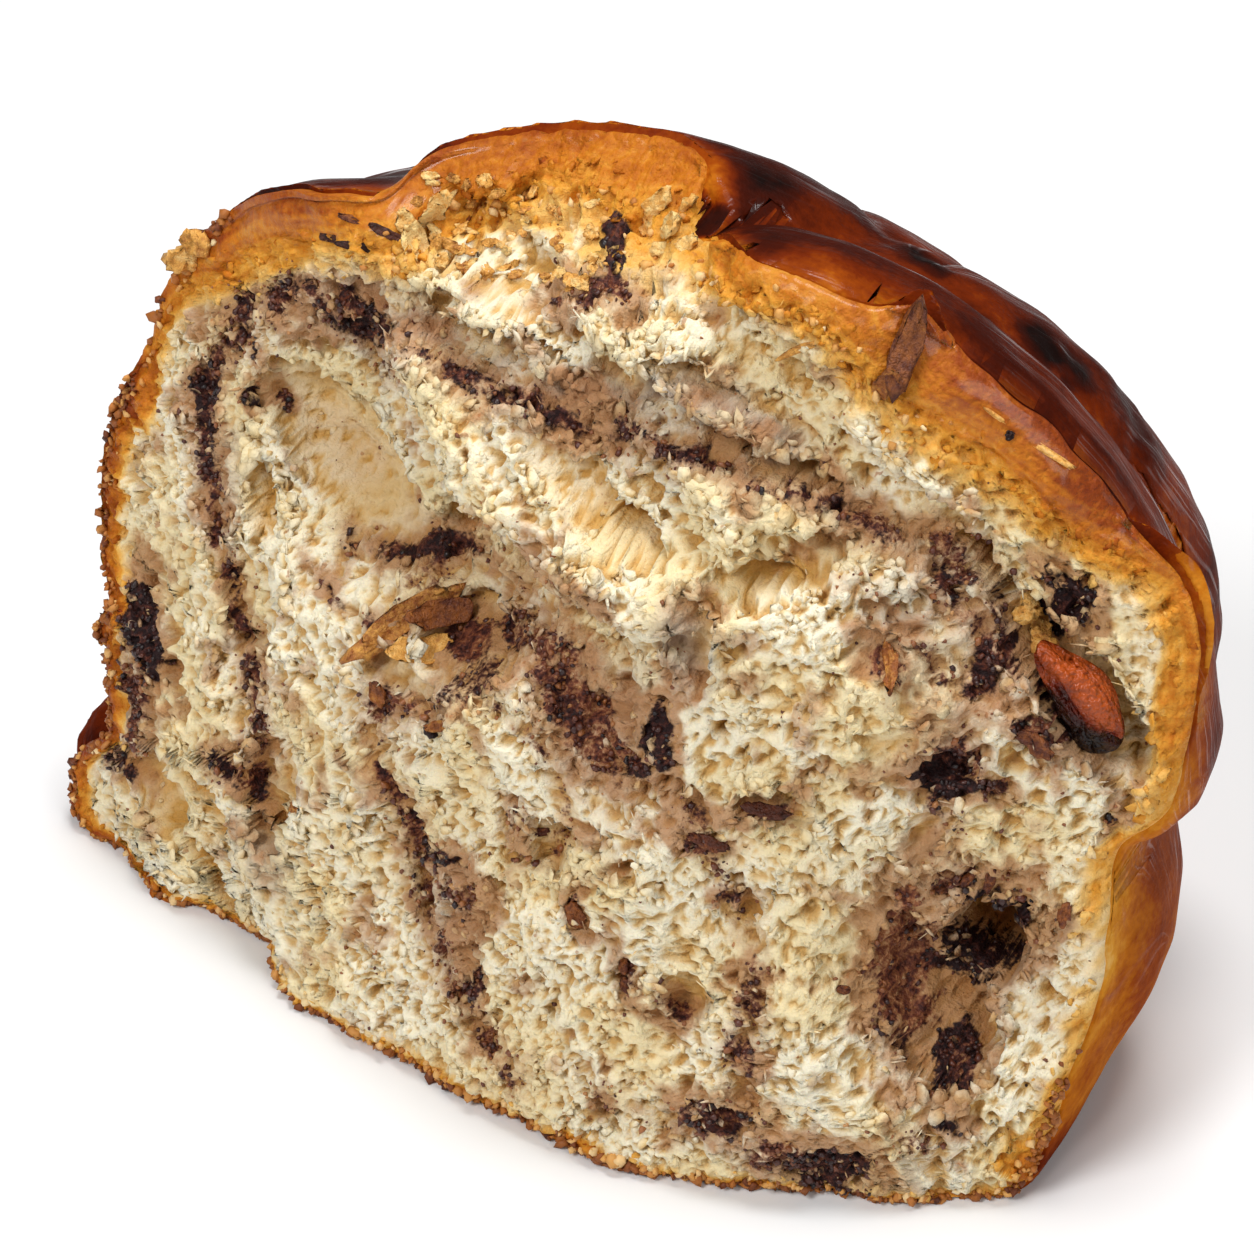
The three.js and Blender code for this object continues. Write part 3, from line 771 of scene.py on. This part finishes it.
# Its edge runs back just under the skin, and its back lies deeper than any of its hollows.
for i in rings[0]:
    place, normal, _, _ = loaf.find_nearest((x[i], sheet_y[i] + SKIRT, z[i]))
    final[i] = place - 0.7 * normal
for ring, (share, deep) in zip(rings[1:], BACK):
    in_x, in_z = (share * (c[ring] - m) + m for c, m in zip((x, z), TORN_MIDDLE))
    in_y = torn_side(in_x, in_z)
    in_y += np.clip(room_behind(in_x, in_z, in_y) - BACK_CLEAR, 0.8, deep)
    final[ring] = np.stack([in_x, in_y, in_z], -1)
final[:, 2] = np.maximum(final[:, 2], 0.05)
put_points(crumb_mesh, final)
closed = bmesh.new()
closed.from_mesh(crumb_mesh)
bmesh.ops.recalc_face_normals(closed, faces=closed.faces)
closed.to_mesh(crumb_mesh)
closed.free()


def stands_out(p, near, far):
    """How far each point stands out from those round it, between two sizes of surroundings."""
    return dots(spread(p, ends, near) - spread(p, ends, far, 0.6), facing)


# Where lips stand out and where the crumb lies deep, from small to large.
crumb_points = points_of(crumb_mesh)
crest, middling = stands_out(crumb_points, 0, 5), stands_out(crumb_points, 1, 16)
lip, deep = stands_out(sheet_p, 2, 40), stands_out(crumb_points, 4, 60)
# Both are painted shade: the crumb is coloured darker where it lies below what is round it, and in its
# hollows and pits.
buried = smooth(0.1 - crest / 0.4 - middling / 0.9)
hollow = np.maximum(smooth(-lip / 0.9) * 0.6 + smooth(-deep / 1.4) * 0.5, 0.85 * pit)

# What its colour follows: cocoa, with painted shadow in the deep hole on the right, how dark it is,
# baking from the rim in, painted shade in hollows, and films.
cx, cz = wx + SLANT_X * sunk, wz + SLANT_Z * sunk
grit = 0.5 + 0.5 * lumps(sheet_p, 1.1, 80)
patchy = 0.5 + 0.5 * lumps(sheet_p, 2.6, 81)
marks = {name: np.zeros(len(x)) for name in ("cocoa", "dark", "stained")}


def stain_and_shade(amount, darkness, around):
    """Adds a patch of cocoa (in the deep hole on the right, painted shadow): how much there is, how
    dark it is, and how far it stains the crumb.
    """
    darker = amount * darkness > marks["dark"] * marks["cocoa"]
    marks["dark"] = np.where(darker, darkness, marks["dark"])
    marks["cocoa"] = np.maximum(marks["cocoa"], amount)
    marks["stained"] = np.maximum(marks["stained"], around)


for px, pz, wide, high, tilt, strength, darkness in COCOA_AND_HOLE_SHADE:
    d = oval(cx, cz, (px, pz), (wide, high), tilt)
    amount = strength * smooth((1.2 - d + 0.7 * (grit - 0.5) + 0.5 * (patchy - 0.5)) / 0.6)
    stain_and_shade(amount, darkness, strength * smooth((2.3 - d + 0.9 * (patchy - 0.5)) / 1.2))
for name, strength, darkness, width in SEAM_COCOA:
    d = seam_distance(cx, cz, SEAMS[name][0])
    broken = smooth(0.34 + 1.6 * (patchy - 0.28) + 0.9 * (grit - 0.5))
    amount = strength * broken * np.exp(-((d / width) ** 2))
    wander = width * (1.6 + 1.4 * patchy)
    stain_and_shade(amount, darkness * (0.55 + 0.45 * patchy), 0.85 * strength * np.exp(-((d / wander) ** 2)))
cocoa, dark, stained = marks.values()
film = np.exp(-((seam_distance(cx, cz, SEAMS["film"][0]) / 2.5) ** 2))
film = np.maximum(film, np.exp(-((seam_distance(cx, cz, SEAMS["swirl"][0]) / 2.6) ** 2)) * 0.7)
for at, half, tilt, much in FILMS:
    film = np.maximum(film, smooth(1.4 - oval(cx, cz, at, half, tilt)) * much)

pulled = np.interp(degrees, *zip(*PULLED))
bake = golden(past, pulled, full_bake(sheet_p) + 0.03, sheet_p)
bake = np.where(past < -1.2, 0, bake) + 0.16 * grit * smooth((past + 4) / 4) * smooth((1.5 - past) / 2)
sideways = np.stack([past, turn * 45, np.zeros(len(x))], -1)
# Painted shade goes with the crumb too: deeper inside its bubbles, pale on its crests.
paint(
    crumb_mesh, **marks, bake=bake, way=sideways, pulled=pulled_flat, film=film, buried=buried,
    hollow=np.clip(hollow, 0, 1), open=np.clip(openness * calm * 0.9 - crest * 2.0 + 0.1, 0, 1),
)

WALL = srgb(235, 226, 200)  # thin walls that catch the light
DOUGH = srgb(228, 207, 156)
PAINTED_HOLLOW_SHADE = srgb(196, 148, 74)  # painted shade for hollows and recesses, warm as light that has gone through the dough
MAUVE = srgb(160, 138, 124)
TEA = srgb(166, 116, 72)  # dough that cocoa has stained
TOASTED = srgb(158, 98, 50)  # specks in the dough
# Cocoa paste from pale to dark; its darkest end also paints shadow in the deep hole on the right.
PASTE_AND_HOLE_SHADE = tones(
    (0.0, 0.25, 0.5, 0.75, 1.0),
    (186, 140, 100), (150, 96, 62), (110, 60, 42), (68, 34, 28), (34, 16, 16),
)


def crumb_material(name, soft):
    """Crumb's finish. Light goes into it by the share soft, for which a petal is too thin."""
    made = new_finish(name)
    bake_in, cocoa_and_shade_in, dark_in, hollow_shade_in, bubble_shade_in, film_in, recess_shade_in = map(
        painted, ("bake", "cocoa", "dark", "hollow", "open", "film", "buried")
    )
    speckle = grain(0.45, 2, 0.6)
    lumpy = grain(1.2, 2, 0.6)
    patches = grain(5, 1)
    dough = blend(grain(9, 1).between(0.4, 0.62) * 0.75, WALL, DOUGH)
    # Painted shade: deeper, yellower and warmer inside bubbles, in hollows and where the crumb lies
    # low, paler on crests.
    dough = blend(bubble_shade_in.between(0.1, 0.7) * 0.75, dough, DOUGH)
    dough = blend(bubble_shade_in.between(0.45, 1.0) * 0.5 + hollow_shade_in * 0.8, dough, PAINTED_HOLLOW_SHADE)
    dough = blend(recess_shade_in * 0.6, dough, PAINTED_HOLLOW_SHADE)
    dough = blend(film_in * patches.between(0.2, 0.6) * 0.85, dough, MAUVE)
    brown_in = painted("stained") + 0.75 * patches.between(0.5, 0.72)
    dough = blend((brown_in + 0.9 * (lumpy - 0.5)).between(0.15, 1.0) * 0.85, dough, TEA)
    streaks = grain(1.0, 1, 0.6, painted("way", "Vector").stretched(1.4, 0.12))
    pores = grain(0.8, 1)
    baked = bake_in + (0.24 * (streaks - 0.5) + 0.2 * (pores - 0.5)) * bake_in.between(0.02, 0.3)
    dough = blend(bake_in.between(0.02, 0.12), dough, baked.ramp(*BAKED))
    dough = blend(lumpy.between(0.68, 0.74) * 0.6, dough, TOASTED)
    paste_and_shade = (dark_in + 1.5 * (lumpy - 0.5) + 1.2 * (speckle - 0.5)).ramp(*PASTE_AND_HOLE_SHADE)
    amount = (cocoa_and_shade_in + 1.0 * (lumpy - 0.5) + 0.8 * (speckle - 0.5)).between(0.36, 0.8)
    rough_bump = 0.9 * grain(0.32, 1, 0.65) + pores + 1.6 * grain(1.1, 1)
    shade(
        blend(amount, dough, paste_and_shade), 0.42 + 0.3 * pores, rough_bump, 0.2,
        coat=painted("pulled") * bake_in * 0.9, Coat_Roughness=0.16, Specular_IOR_Level=0.16,
        Subsurface_Weight=soft, Subsurface_Radius=(1.0, 0.75, 0.45), Subsurface_Scale=0.0013,
    )
    return made


finished("crumb", crumb_mesh, crumb_material("crumb", 0.16))


# ==== Torn walls =============================================================================
# The thin walls of dough between the bubbles tore as the loaf was pulled in two, and stand up
# from the crumb as petals and threads, thickest along the lips of the hollows.
PETALS = 4200
THREADS = 600
PETAL_ROOT = 0.2  # how deep each stands in the crumb, mm
seeded = np.random.default_rng(7)


def scattered(name, base, places, turns, sizes, ragged=0.0):
    """One mesh of many copies of a small shape, each with its own place, turn and size in mm."""
    mesh = bpy.data.meshes.new(name)
    base.to_mesh(mesh)
    shape = np.zeros(len(mesh.vertices) * 3)
    mesh.vertices.foreach_get("co", shape)
    shape = shape.reshape(-1, 3)
    faces = [np.array(f.vertices) for f in mesh.polygons]
    base.free()
    own = shape[None] + ragged * seeded.uniform(-1, 1, (len(places), len(shape), 3)) * [1, 1, 0.3]
    spots = np.einsum("mij,mnj->mni", turns, own * sizes[:, None]) + places[:, None]
    count = len(shape)
    mesh.clear_geometry()
    mesh.from_pydata(
        (spots.reshape(-1, 3) + BULGE) * MM, [],
        [list(f + count * k) for k in range(len(places)) for f in faces],
    )
    return mesh, shape


def turned(forward, spin):
    """Turns whose first axis is the given direction, rolled about it by the spin."""
    forward = unit(forward)
    side = unit(np.cross(forward, np.array([0.31, 0.17, 0.93])))
    other = np.cross(forward, side)
    c, s = np.cos(spin)[:, None], np.sin(spin)[:, None]
    return np.stack([forward, side * c + other * s, other * c - side * s], -1)


liking = (0.5 + 0.8 * smooth(crest / 0.22) + 1.6 * smooth(lip / 0.45)) * (1 - 0.75 * glassy)
liking *= (1 - 0.15 * cocoa) * smooth((inward - 0.6) / 1.0) * (1 - 0.93 * pulled_flat)
liking[ring_index] = 0


def rooted(count, liking):
    """Points of the crumb, chosen by how well each is liked, and a stray direction for each."""
    chosen = seeded.choice(len(liking), count, replace=False, p=liking / liking.sum())
    return chosen, seeded.normal(size=(count, 3))


def petals(name, count, long, wide, thick, lift, curl):
    """Spans of length, width and thickness in mm, of lift in degrees, and how much each curls."""
    root, stray = rooted(count, liking)
    at, out = crumb_points[root], facing[root]
    fall = aside(slope[root], out)
    along = unit(aside(2.2 * fall + 0.45 * stray + np.array([0, 0, 0.1]), out))
    rise = np.radians(seeded.uniform(*lift, count))[:, None]
    forward = along * np.cos(rise) + out * np.sin(rise)
    over = out * np.cos(rise) - along * np.sin(rise)
    side = np.cross(over, forward)
    roll = seeded.normal(0, 0.5, count)[:, None]
    turns = np.stack([forward, side * np.cos(roll) + over * np.sin(roll),
                      over * np.cos(roll) - side * np.sin(roll)], -1)
    size = np.stack([seeded.uniform(*span, count) for span in (long, wide, thick)], -1)
    size[:, :2] *= (0.8 + 0.6 * smooth(lip[root] / 0.5))[:, None]
    leaf = bmesh.new()
    bmesh.ops.create_icosphere(leaf, subdivisions=1, radius=1.0)
    for v in leaf.verts:
        v.co.x = 0.4 + 0.7 * v.co.x
        v.co.z += curl * (v.co.x * v.co.x - 0.6 * abs(v.co.y))
    mesh, shape = scattered(name, leaf, at - out * PETAL_ROOT, turns, size, 0.28)
    tip = np.tile(np.clip(shape[:, 0], 0, 1), count)
    each = np.repeat(root, len(shape))
    jitter = np.repeat(seeded.uniform(-0.1, 0.1, count), len(shape))
    # Painted shade at each petal's root, where it stands in the crumb, and a pale tip as if lit.
    paint(
        mesh, cocoa=cocoa[each] * (0.85 - 0.45 * tip), dark=dark[each],
        stained=stained[each] * (1 - 0.3 * tip),
        bake=np.clip(bake[each] + jitter * 0.6 + 0.05 * tip * (bake[each] > 0.05), 0, 1),
        hollow=np.clip(hollow[each] * (1 - 0.8 * tip), 0, 1),
        open=np.clip(0.75 - 0.9 * tip + jitter * 2, 0, 1), film=film[each] * (1 - 0.4 * tip),
        buried=np.clip(buried[each] + 0.55 - 1.1 * tip, 0, 1), pulled=np.zeros(len(each)),
        way=sideways[each],
    )
    finished(name, mesh, petal_finish)


petal_finish = crumb_material("torn_petals", 0.0)
petals("torn_petals", PETALS, (0.3, 1.1), (0.3, 0.9), (0.12, 0.34), (-10, 14), 0.3)
petals("torn_threads", THREADS, (0.6, 1.4), (0.06, 0.14), (0.05, 0.08), (8, 50), 0.5)


# ==== Cocoa and baked crumbs =================================================================
# Coarse cocoa and sugar that was strewn over the paste, and crumbs that broke off as it tore,
# golden to brown where they come from the crust.
GRAINS = 2800
CRUMBS = 1000
STREWN_TONES = (0.0, 0.3, 0.55, 0.8, 1.0)
COCOA_TONES = (196, 148, 92), (150, 92, 48), (92, 44, 26), (52, 22, 18), (26, 12, 14)
CRUMB_TONES = (232, 206, 156), (214, 158, 84), (170, 102, 40), (112, 56, 22), (64, 28, 16)


def strewn(name, root, size, squash, out_by, tint, colours, roughness, pitted, shine):
    """Small lumps at points of the crumb, each with its own size in mm and tint from 0 to 1."""
    lump = bmesh.new()
    bmesh.ops.create_icosphere(lump, subdivisions=1, radius=1.0)
    for v in lump.verts:
        v.co *= 1 + 0.28 * math.sin(5 * v.co.x + 3 * v.co.y + 1) * math.cos(4 * v.co.z + 2 * v.co.x)
    count = len(root)
    spin = turned(seeded.normal(size=(count, 3)), seeded.uniform(0, 6.28, count))
    sizes = size[:, None] * seeded.uniform(squash, 1.0, (count, 3))
    at = crumb_points[root] + facing[root] * out_by
    mesh, shape = scattered(name, lump, at, spin, sizes, 0.34)
    paint(mesh, tint=np.repeat(tint, len(shape)))
    made = new_finish(name)
    bump = grain(pitted, 2) if pitted else None
    colour = painted("tint").ramp(*tones(STREWN_TONES, *colours))
    shade(colour, roughness, bump, 0.08, Specular_IOR_Level=shine)
    finished(name, mesh, made)


seeded.uniform(0, 1, len(cocoa))  # every bit below stays where it is only after this draw
edge_of_cocoa = cocoa * (1.15 - cocoa) * 3 + 0.9 * smooth((cocoa - 0.55) / 0.3) + 0.03
edge_of_cocoa *= (0.3 + 1.4 * smooth(grit * 1.6 - 0.5)) * (inward > 0.8) * (past < 0.5)
edge_of_cocoa[ring_index] = 0
root, _ = rooted(GRAINS, edge_of_cocoa)
size = 0.1 + 0.42 * seeded.beta(1.1, 3.2, GRAINS) + 0.14 * (cocoa[root] > 0.5)
tint = np.clip(0.42 + 0.5 * dark[root] * cocoa[root] + seeded.normal(0, 0.17, GRAINS), 0.1, 1)
strewn("cocoa_grains", root, size, 0.6, 0.0, tint, COCOA_TONES, 0.42, None, 0.5)

low_rim = smooth((2.2 - inward) / 1.6) * ((turn > math.radians(168)) & (turn < math.radians(335)))
low_rim = low_rim * (0.4 + 1.2 * grit)
top_rim = smooth((past + 1.8) / 1.5) * smooth((3.5 - past) / 2) * (x > -34) * (x < 26) * (z > 66)
crumbly = low_rim + 0.12 * top_rim + 0.5 * smooth((2.0 - inward) / 1.5) * (x < -50)
crumbly[ring_index] = 0
root, _ = rooted(CRUMBS, crumbly)
size = 0.28 + 0.8 * seeded.beta(1.2, 3.2, CRUMBS)
tint = np.clip(0.3 + 0.32 * (inward[root] < 1.2) * (top_rim[root] < 0.2)
               + seeded.normal(0, 0.14, CRUMBS), 0, 1)
strewn("baked_crumbs", root, size, 0.4, 0.1, tint, CRUMB_TONES, 0.55, 0.25, 0.35)


# ==== Flakes and flaps =======================================================================
# Skin that curled up or broke as the loaf was torn: a flake of dark crust, golden strips and
# crumbs, amber flaps in the hollows and flat chips of cocoa paste.
FLAKES = (  # x, z, half length, half width, half thickness, turn, lift in degrees, how baked, out
    (20.3, 81.3, 4.4, 1.35, 0.6, 76, 4, 0.66, 0.9), (19.6, 78.4, 2.2, 1.1, 0.5, 60, 20, 0.5, 0.9),
    (11.5, 80.4, 2.9, 0.34, 0.25, 40, 8, 0.3, 0.4), (31.5, 73.6, 4.4, 0.35, 0.2, -24, 2, 0.24, 0.1),
    (-24.4, 45.4, 6.4, 1.25, 0.25, 38, 5, 0.42, 0.6), (-20.4, 47.6, 3.0, 1.3, 0.25, 24, 12, 0.6, 0.5),
    (-21.5, 43.6, 3.2, 1.4, 0.35, 30, -5, 0.28, 0.3),
    (-37.5, 74.8, 2.0, 0.5, 0.25, 10, 2, 0.9, 0.1), (-33.8, 75.4, 2.2, 0.6, 0.25, -4, 2, 0.95, 0.1),
    (-31.6, 77.6, 1.8, 0.45, 0.25, -12, 4, 0.85, 0.1), (-36, 77, 1.4, 0.35, 0.2, -8, 0, 0.7, 0.1),
    (-27.4, 80.6, 2.2, 1.3, 0.2, 70, 40, 0.08, 0.5), (-28.4, 77.8, 2.0, 1.5, 0.25, 95, 30, 0.03, 0.4),
    (-26.2, 82.4, 1.6, 0.9, 0.2, 50, 50, 0.16, 0.4), (-29.4, 79.2, 1.5, 0.8, 0.2, 120, 35, 0.12, 0.4),
    (-56.8, 65.4, 2.2, 1.5, 1.0, 20, 10, 0.24, 0.3), (-54.8, 67.2, 1.8, 1.2, 0.9, -20, 15, 0.3, 0.3),
    (33.4, 58.6, 1.3, 0.9, 0.8, 30, 20, 0.25, 0.7), (34.5, 57.0, 1.5, 1.0, 0.8, 80, 20, 0.3, 1.0),
    (33.6, 60.2, 1.2, 0.7, 0.7, 110, 30, 0.2, 0.7), (35.2, 55.4, 1.5, 0.9, 0.7, -30, 15, 0.34, 1.2),
    (9.4, 35.8, 1.9, 0.7, 0.3, 5, 2, 0.74, 0.3), (14.2, 39.5, 2.3, 0.7, 0.3, 16, -4, 0.8, 0.2),
    (35.6, 46.9, 2.0, 0.8, 0.4, -28, 2, 0.68, 0.3), (23.0, 53.6, 2.4, 0.7, 0.4, -62, 2, 0.5, 0.3),
    (2.9, 22.6, 1.0, 0.45, 0.3, 80, 4, 0.66, 0.2), (3.6, 20.4, 0.9, 0.7, 0.35, 0, 4, 0.72, 0.2),
    (33.6, 34, 1.6, 0.5, 0.35, 82, 2, 0.76, 0.2), (31.9, 34, 1.2, 0.45, 0.35, 75, 2, 0.7, 0.2),
    (30.2, 33, 1.1, 0.5, 0.3, 20, 2, 0.7, 0.2), (39.6, 30.6, 1.1, 0.6, 0.35, 80, 2, 0.6, 0.2),
    (-26.6, 37.2, 1.5, 0.7, 0.3, -70, 4, 0.55, 0.2), (-18.8, 37.6, 1.5, 0.6, 0.3, 20, 5, 0.45, 0.3),
    (-19.9, 36.4, 0.8, 0.55, 0.4, -20, 0, 0.98, 0.2), (-2.3, 25.6, 1.3, 0.8, 0.3, -70, 2, 0.62, 0.2),
    (29.6, 74.1, 0.4, 0.4, 0.35, 0, 0, 1.0, 0.1), (22.6, 22.6, 0.7, 0.4, 0.3, 20, 0, 0.7, 0.2),
    (-36, 20.6, 0.8, 0.7, 0.3, 0, 5, 0.4, 0.2), (-7, 32, 0.9, 0.4, 0.3, 20, 0, 0.75, 0.2),
    (-3.2, 90.4, 1.8, 1.0, 0.5, 60, 40, 0.16, 0.5), (-1.2, 88.8, 1.7, 1.1, 0.5, 20, 35, 0.12, 0.6),
    (-0.8, 91.0, 1.4, 0.8, 0.4, 100, 40, 0.22, 0.5), (-3.6, 88.6, 1.4, 0.9, 0.4, -30, 30, 0.2, 0.5),
    (0.4, 87.6, 1.3, 0.8, 0.4, 40, 30, 0.14, 0.5), (-2.0, 86.6, 1.4, 0.7, 0.4, 10, 30, 0.08, 0.5),
)
SCALES = 60  # golden scales on the top left, where one strand was peeled off the next
SCALE_SPANS = ((0.45, 1.1), (0.3, 0.7), (0.15, 0.3), (-60, 80), (0, 35), (0.1, 0.36))
scales = []
for _ in range(SCALES):
    fx = seeded.uniform(-29, -8)
    fz = 80.6 + 0.16 * (fx + 7) + 9.0 * seeded.uniform() ** 1.3
    scales.append((fx, fz, *(seeded.uniform(*span) for span in SCALE_SPANS), 0.15))
surface = BVHTree.FromPolygons(
    crumb_points.tolist() + points_of(crust_mesh).tolist(),
    [list(f.vertices) for f in crumb_mesh.polygons]
    + [[i + len(crumb_points) for i in f.vertices] for f in crust_mesh.polygons],
)
FAR_OUT, TOO_DEEP = 30, 46  # where the look for the surface starts and where it ends, mm
flakes = bmesh.new()
bake_layer = flakes.verts.layers.float.new("bake")
for number, (fx, fz, long, wide, thick, tilt, lift, how, out_by) in enumerate((*FLAKES, *scales)):
    start = Vector((fx, float(bulging(np.array(fx), np.array(fz))), fz)) - FAR_OUT * INTO
    place, normal, _, depth = surface.ray_cast(start, INTO)
    if place is None or depth > TOO_DEEP:
        place, normal, _, _ = surface.find_nearest(start + FAR_OUT * INTO)
    if normal.dot(INTO) > 0:
        normal = -normal
    normal = (0.6 * normal - 0.4 * INTO).normalized()
    a, rise = math.radians(tilt), math.radians(lift)
    along = Vector((math.cos(a), 0, math.sin(a)))
    along = (along - normal * along.dot(normal)).normalized()
    along = (along * math.cos(rise) + normal * math.sin(rise)).normalized()
    other = normal.cross(along).normalized()
    over = along.cross(other).normalized()
    plate = bmesh.ops.create_uvsphere(flakes, u_segments=20, v_segments=10, radius=1.0)["verts"]
    ball = np.array([v.co for v in plate])
    n = ball * [2.2, 2.2 * wide / long, 1] + 9.7 * number
    torn_by = 1 + 0.34 * lumps(n, 0.8, 120) + 0.22 * lumps(n, 0.35, 121)
    bend = 0.25 * long * (ball[:, 0] ** 2 - 0.4) + 0.3 * wide * ball[:, 1] ** 2
    rough_by = (0.1 + 0.5 * thick) * lumps(n, 0.45, 122)
    local = np.stack([
        ball[:, 0] * long * torn_by, ball[:, 1] * wide * torn_by, ball[:, 2] * thick + bend + rough_by
    ], -1)
    spots = np.array(place + normal * out_by) + local @ np.array([along, other, over])
    for v, spot, browned in zip(plate, spots, how + 0.12 * lumps(n, 0.5, 123)):
        v.co = (spot + BULGE) * MM
        v[bake_layer] = browned
flakes_mesh = bpy.data.meshes.new("flakes")
flakes.to_mesh(flakes_mesh)
flakes.free()
flakes_finish = new_finish("flakes")
baked = painted("bake") + 0.5 * (grain(1.1, 3) - 0.5) + 0.3 * (grain(0.35, 2) - 0.5)
FLAKE_TONES = tones(
    (0.0, 0.25, 0.5, 0.72, 1.0),
    (236, 206, 140), (220, 160, 76), (146, 84, 36), (88, 42, 24), (34, 15, 14),
)
flaky = grain(0.5, 3) + 0.6 * grain(0.2, 2)
shade(baked.ramp(*FLAKE_TONES), 0.45, flaky, 0.3, Specular_IOR_Level=0.3)
finished("flakes", flakes_mesh, flakes_finish)


# ==== Chocolate ==============================================================================
# A piece of dark chocolate filling that melted in the oven and set again, shiny and drawn out,
# in the crack along the right side. It lies on its own, held by the crumb round it.
CHOCOLATE_AT, CHOCOLATE_HALF = (38.2, 8.9, 50.1), (7.5, 3.3, 3.1)
drop = bmesh.new()
bmesh.ops.create_icosphere(drop, subdivisions=5, radius=1.0)
for v in drop.verts:
    n = np.array(v.co)[None]
    swell = 0.24 * lumps(n, 0.9, 110)[0] + 0.13 * lumps(n, 0.45, 111)[0]
    crease = 0.2 * smooth(1 - abs(lumps(n * [0.8, 2.2, 2.2], 1.0, 113)[0]) / 0.28)
    v.co *= 1.0 + min(-0.01, swell - 0.2 - crease)
    v.co.z += 0.22 * (0.35 - v.co.x ** 2)
lay = (
    Matrix.Translation((np.array(CHOCOLATE_AT) + BULGE) * MM)
    @ Matrix.Rotation(math.radians(6), 4, "Z") @ Matrix.Rotation(math.radians(60), 4, "Y")
    @ Matrix.Diagonal((*(h * MM for h in CHOCOLATE_HALF), 1))
)
bmesh.ops.transform(drop, matrix=lay, verts=drop.verts)
chocolate_mesh = bpy.data.meshes.new("chocolate")
drop.to_mesh(chocolate_mesh)
drop.free()
q = points_of(chocolate_mesh)
# Painted light and shade: red-brown towards the upper right, black towards the lower left.
upper_right = (q[:, 0] - CHOCOLATE_AT[0] + (q[:, 2] - CHOCOLATE_AT[2])) / 4
paint(chocolate_mesh, melted=smooth(0.5 + 0.5 * upper_right + 0.5 * lumps(q, 2.5, 112)))
chocolate_finish = new_finish("chocolate")
melted = painted("melted") + 0.3 * (grain(1.5, 3) - 0.5)
CHOCOLATE_TONES = tones((0.0, 0.35, 0.65, 1.0), (20, 8, 7), (46, 13, 8), (104, 32, 12), (164, 72, 26))
dents = 0.5 * grain(0.5, 2) + 2.0 * grain(1.4, 2)
shade(melted.ramp(*CHOCOLATE_TONES), 0.16, dents, 0.9, Specular_IOR_Level=0.26)
finished("chocolate", chocolate_mesh, chocolate_finish, "chocolate_piece")


# ==== Table, light and camera ================================================================
# A white table under soft studio light, seen from above and from the right as the photo shows it.
table = bmesh.new()
bmesh.ops.create_grid(table, x_segments=1, y_segments=1, size=3.0)
floor_mesh = bpy.data.meshes.new("table")
table.to_mesh(floor_mesh)
table.free()
floor_finish = new_finish("table")
shade((0.82, 0.82, 0.82, 1), 0.9, Specular_IOR_Level=0.1)
floor_mesh.materials.append(floor_finish)
floor = placed("table", floor_mesh)

world = bpy.data.worlds.new("room")
world.use_nodes = True
world.node_tree.nodes["Background"].inputs["Color"].default_value = (1, 1, 1, 1)
world.node_tree.nodes["Background"].inputs["Strength"].default_value = 0.12
bpy.context.scene.world = world


def facing_at(name, data, place, way):
    made = placed(name, data)
    made.location = place
    made.rotation_mode = "QUATERNION"
    made.rotation_quaternion = way.to_track_quat("-Z", "Y")
    return made


def lamp(name, place, aim, size, watts):
    """A round studio light, with its place, aim and size in metres."""
    data = bpy.data.lights.new(name, "AREA")
    data.shape, data.size, data.energy = "DISK", size, watts
    facing_at(name, data, place, Vector(aim) - Vector(place))


lamp("overhead", (0.05, 0.15, 1.1), (0, 0, 0.03), 0.55, 10.5)
lamp("key", (-0.35, -0.8, 0.9), (0, 0, 0.04), 0.5, 8.5)
lamp("fill", (0.7, -0.5, 0.6), (0, 0, 0.04), 0.5, 2.5)

AZIMUTH, ELEVATION, DISTANCE = math.radians(25), math.radians(35), 0.480  # the last in metres
AIM = np.array([-5.7, 9.5, 44.8])  # what it looks at, in mm from the middle of the bulge
SENSOR, PICTURE, PIXELS_PER_MM = 36, 1254, 11.0
level_part = math.cos(ELEVATION)
back = Vector((
    math.sin(AZIMUTH) * level_part, -math.cos(AZIMUTH) * level_part, math.sin(ELEVATION)
))
aim = Vector((AIM + BULGE) * MM)
camera_data = bpy.data.cameras.new("camera")
camera_data.sensor_width = SENSOR
camera_data.lens = SENSOR * PIXELS_PER_MM * DISTANCE / MM / PICTURE
camera_data.clip_start = 0.01
bpy.context.scene.camera = facing_at("camera", camera_data, aim + back * DISTANCE, -back)
bpy.context.scene.view_settings.view_transform = "Standard"
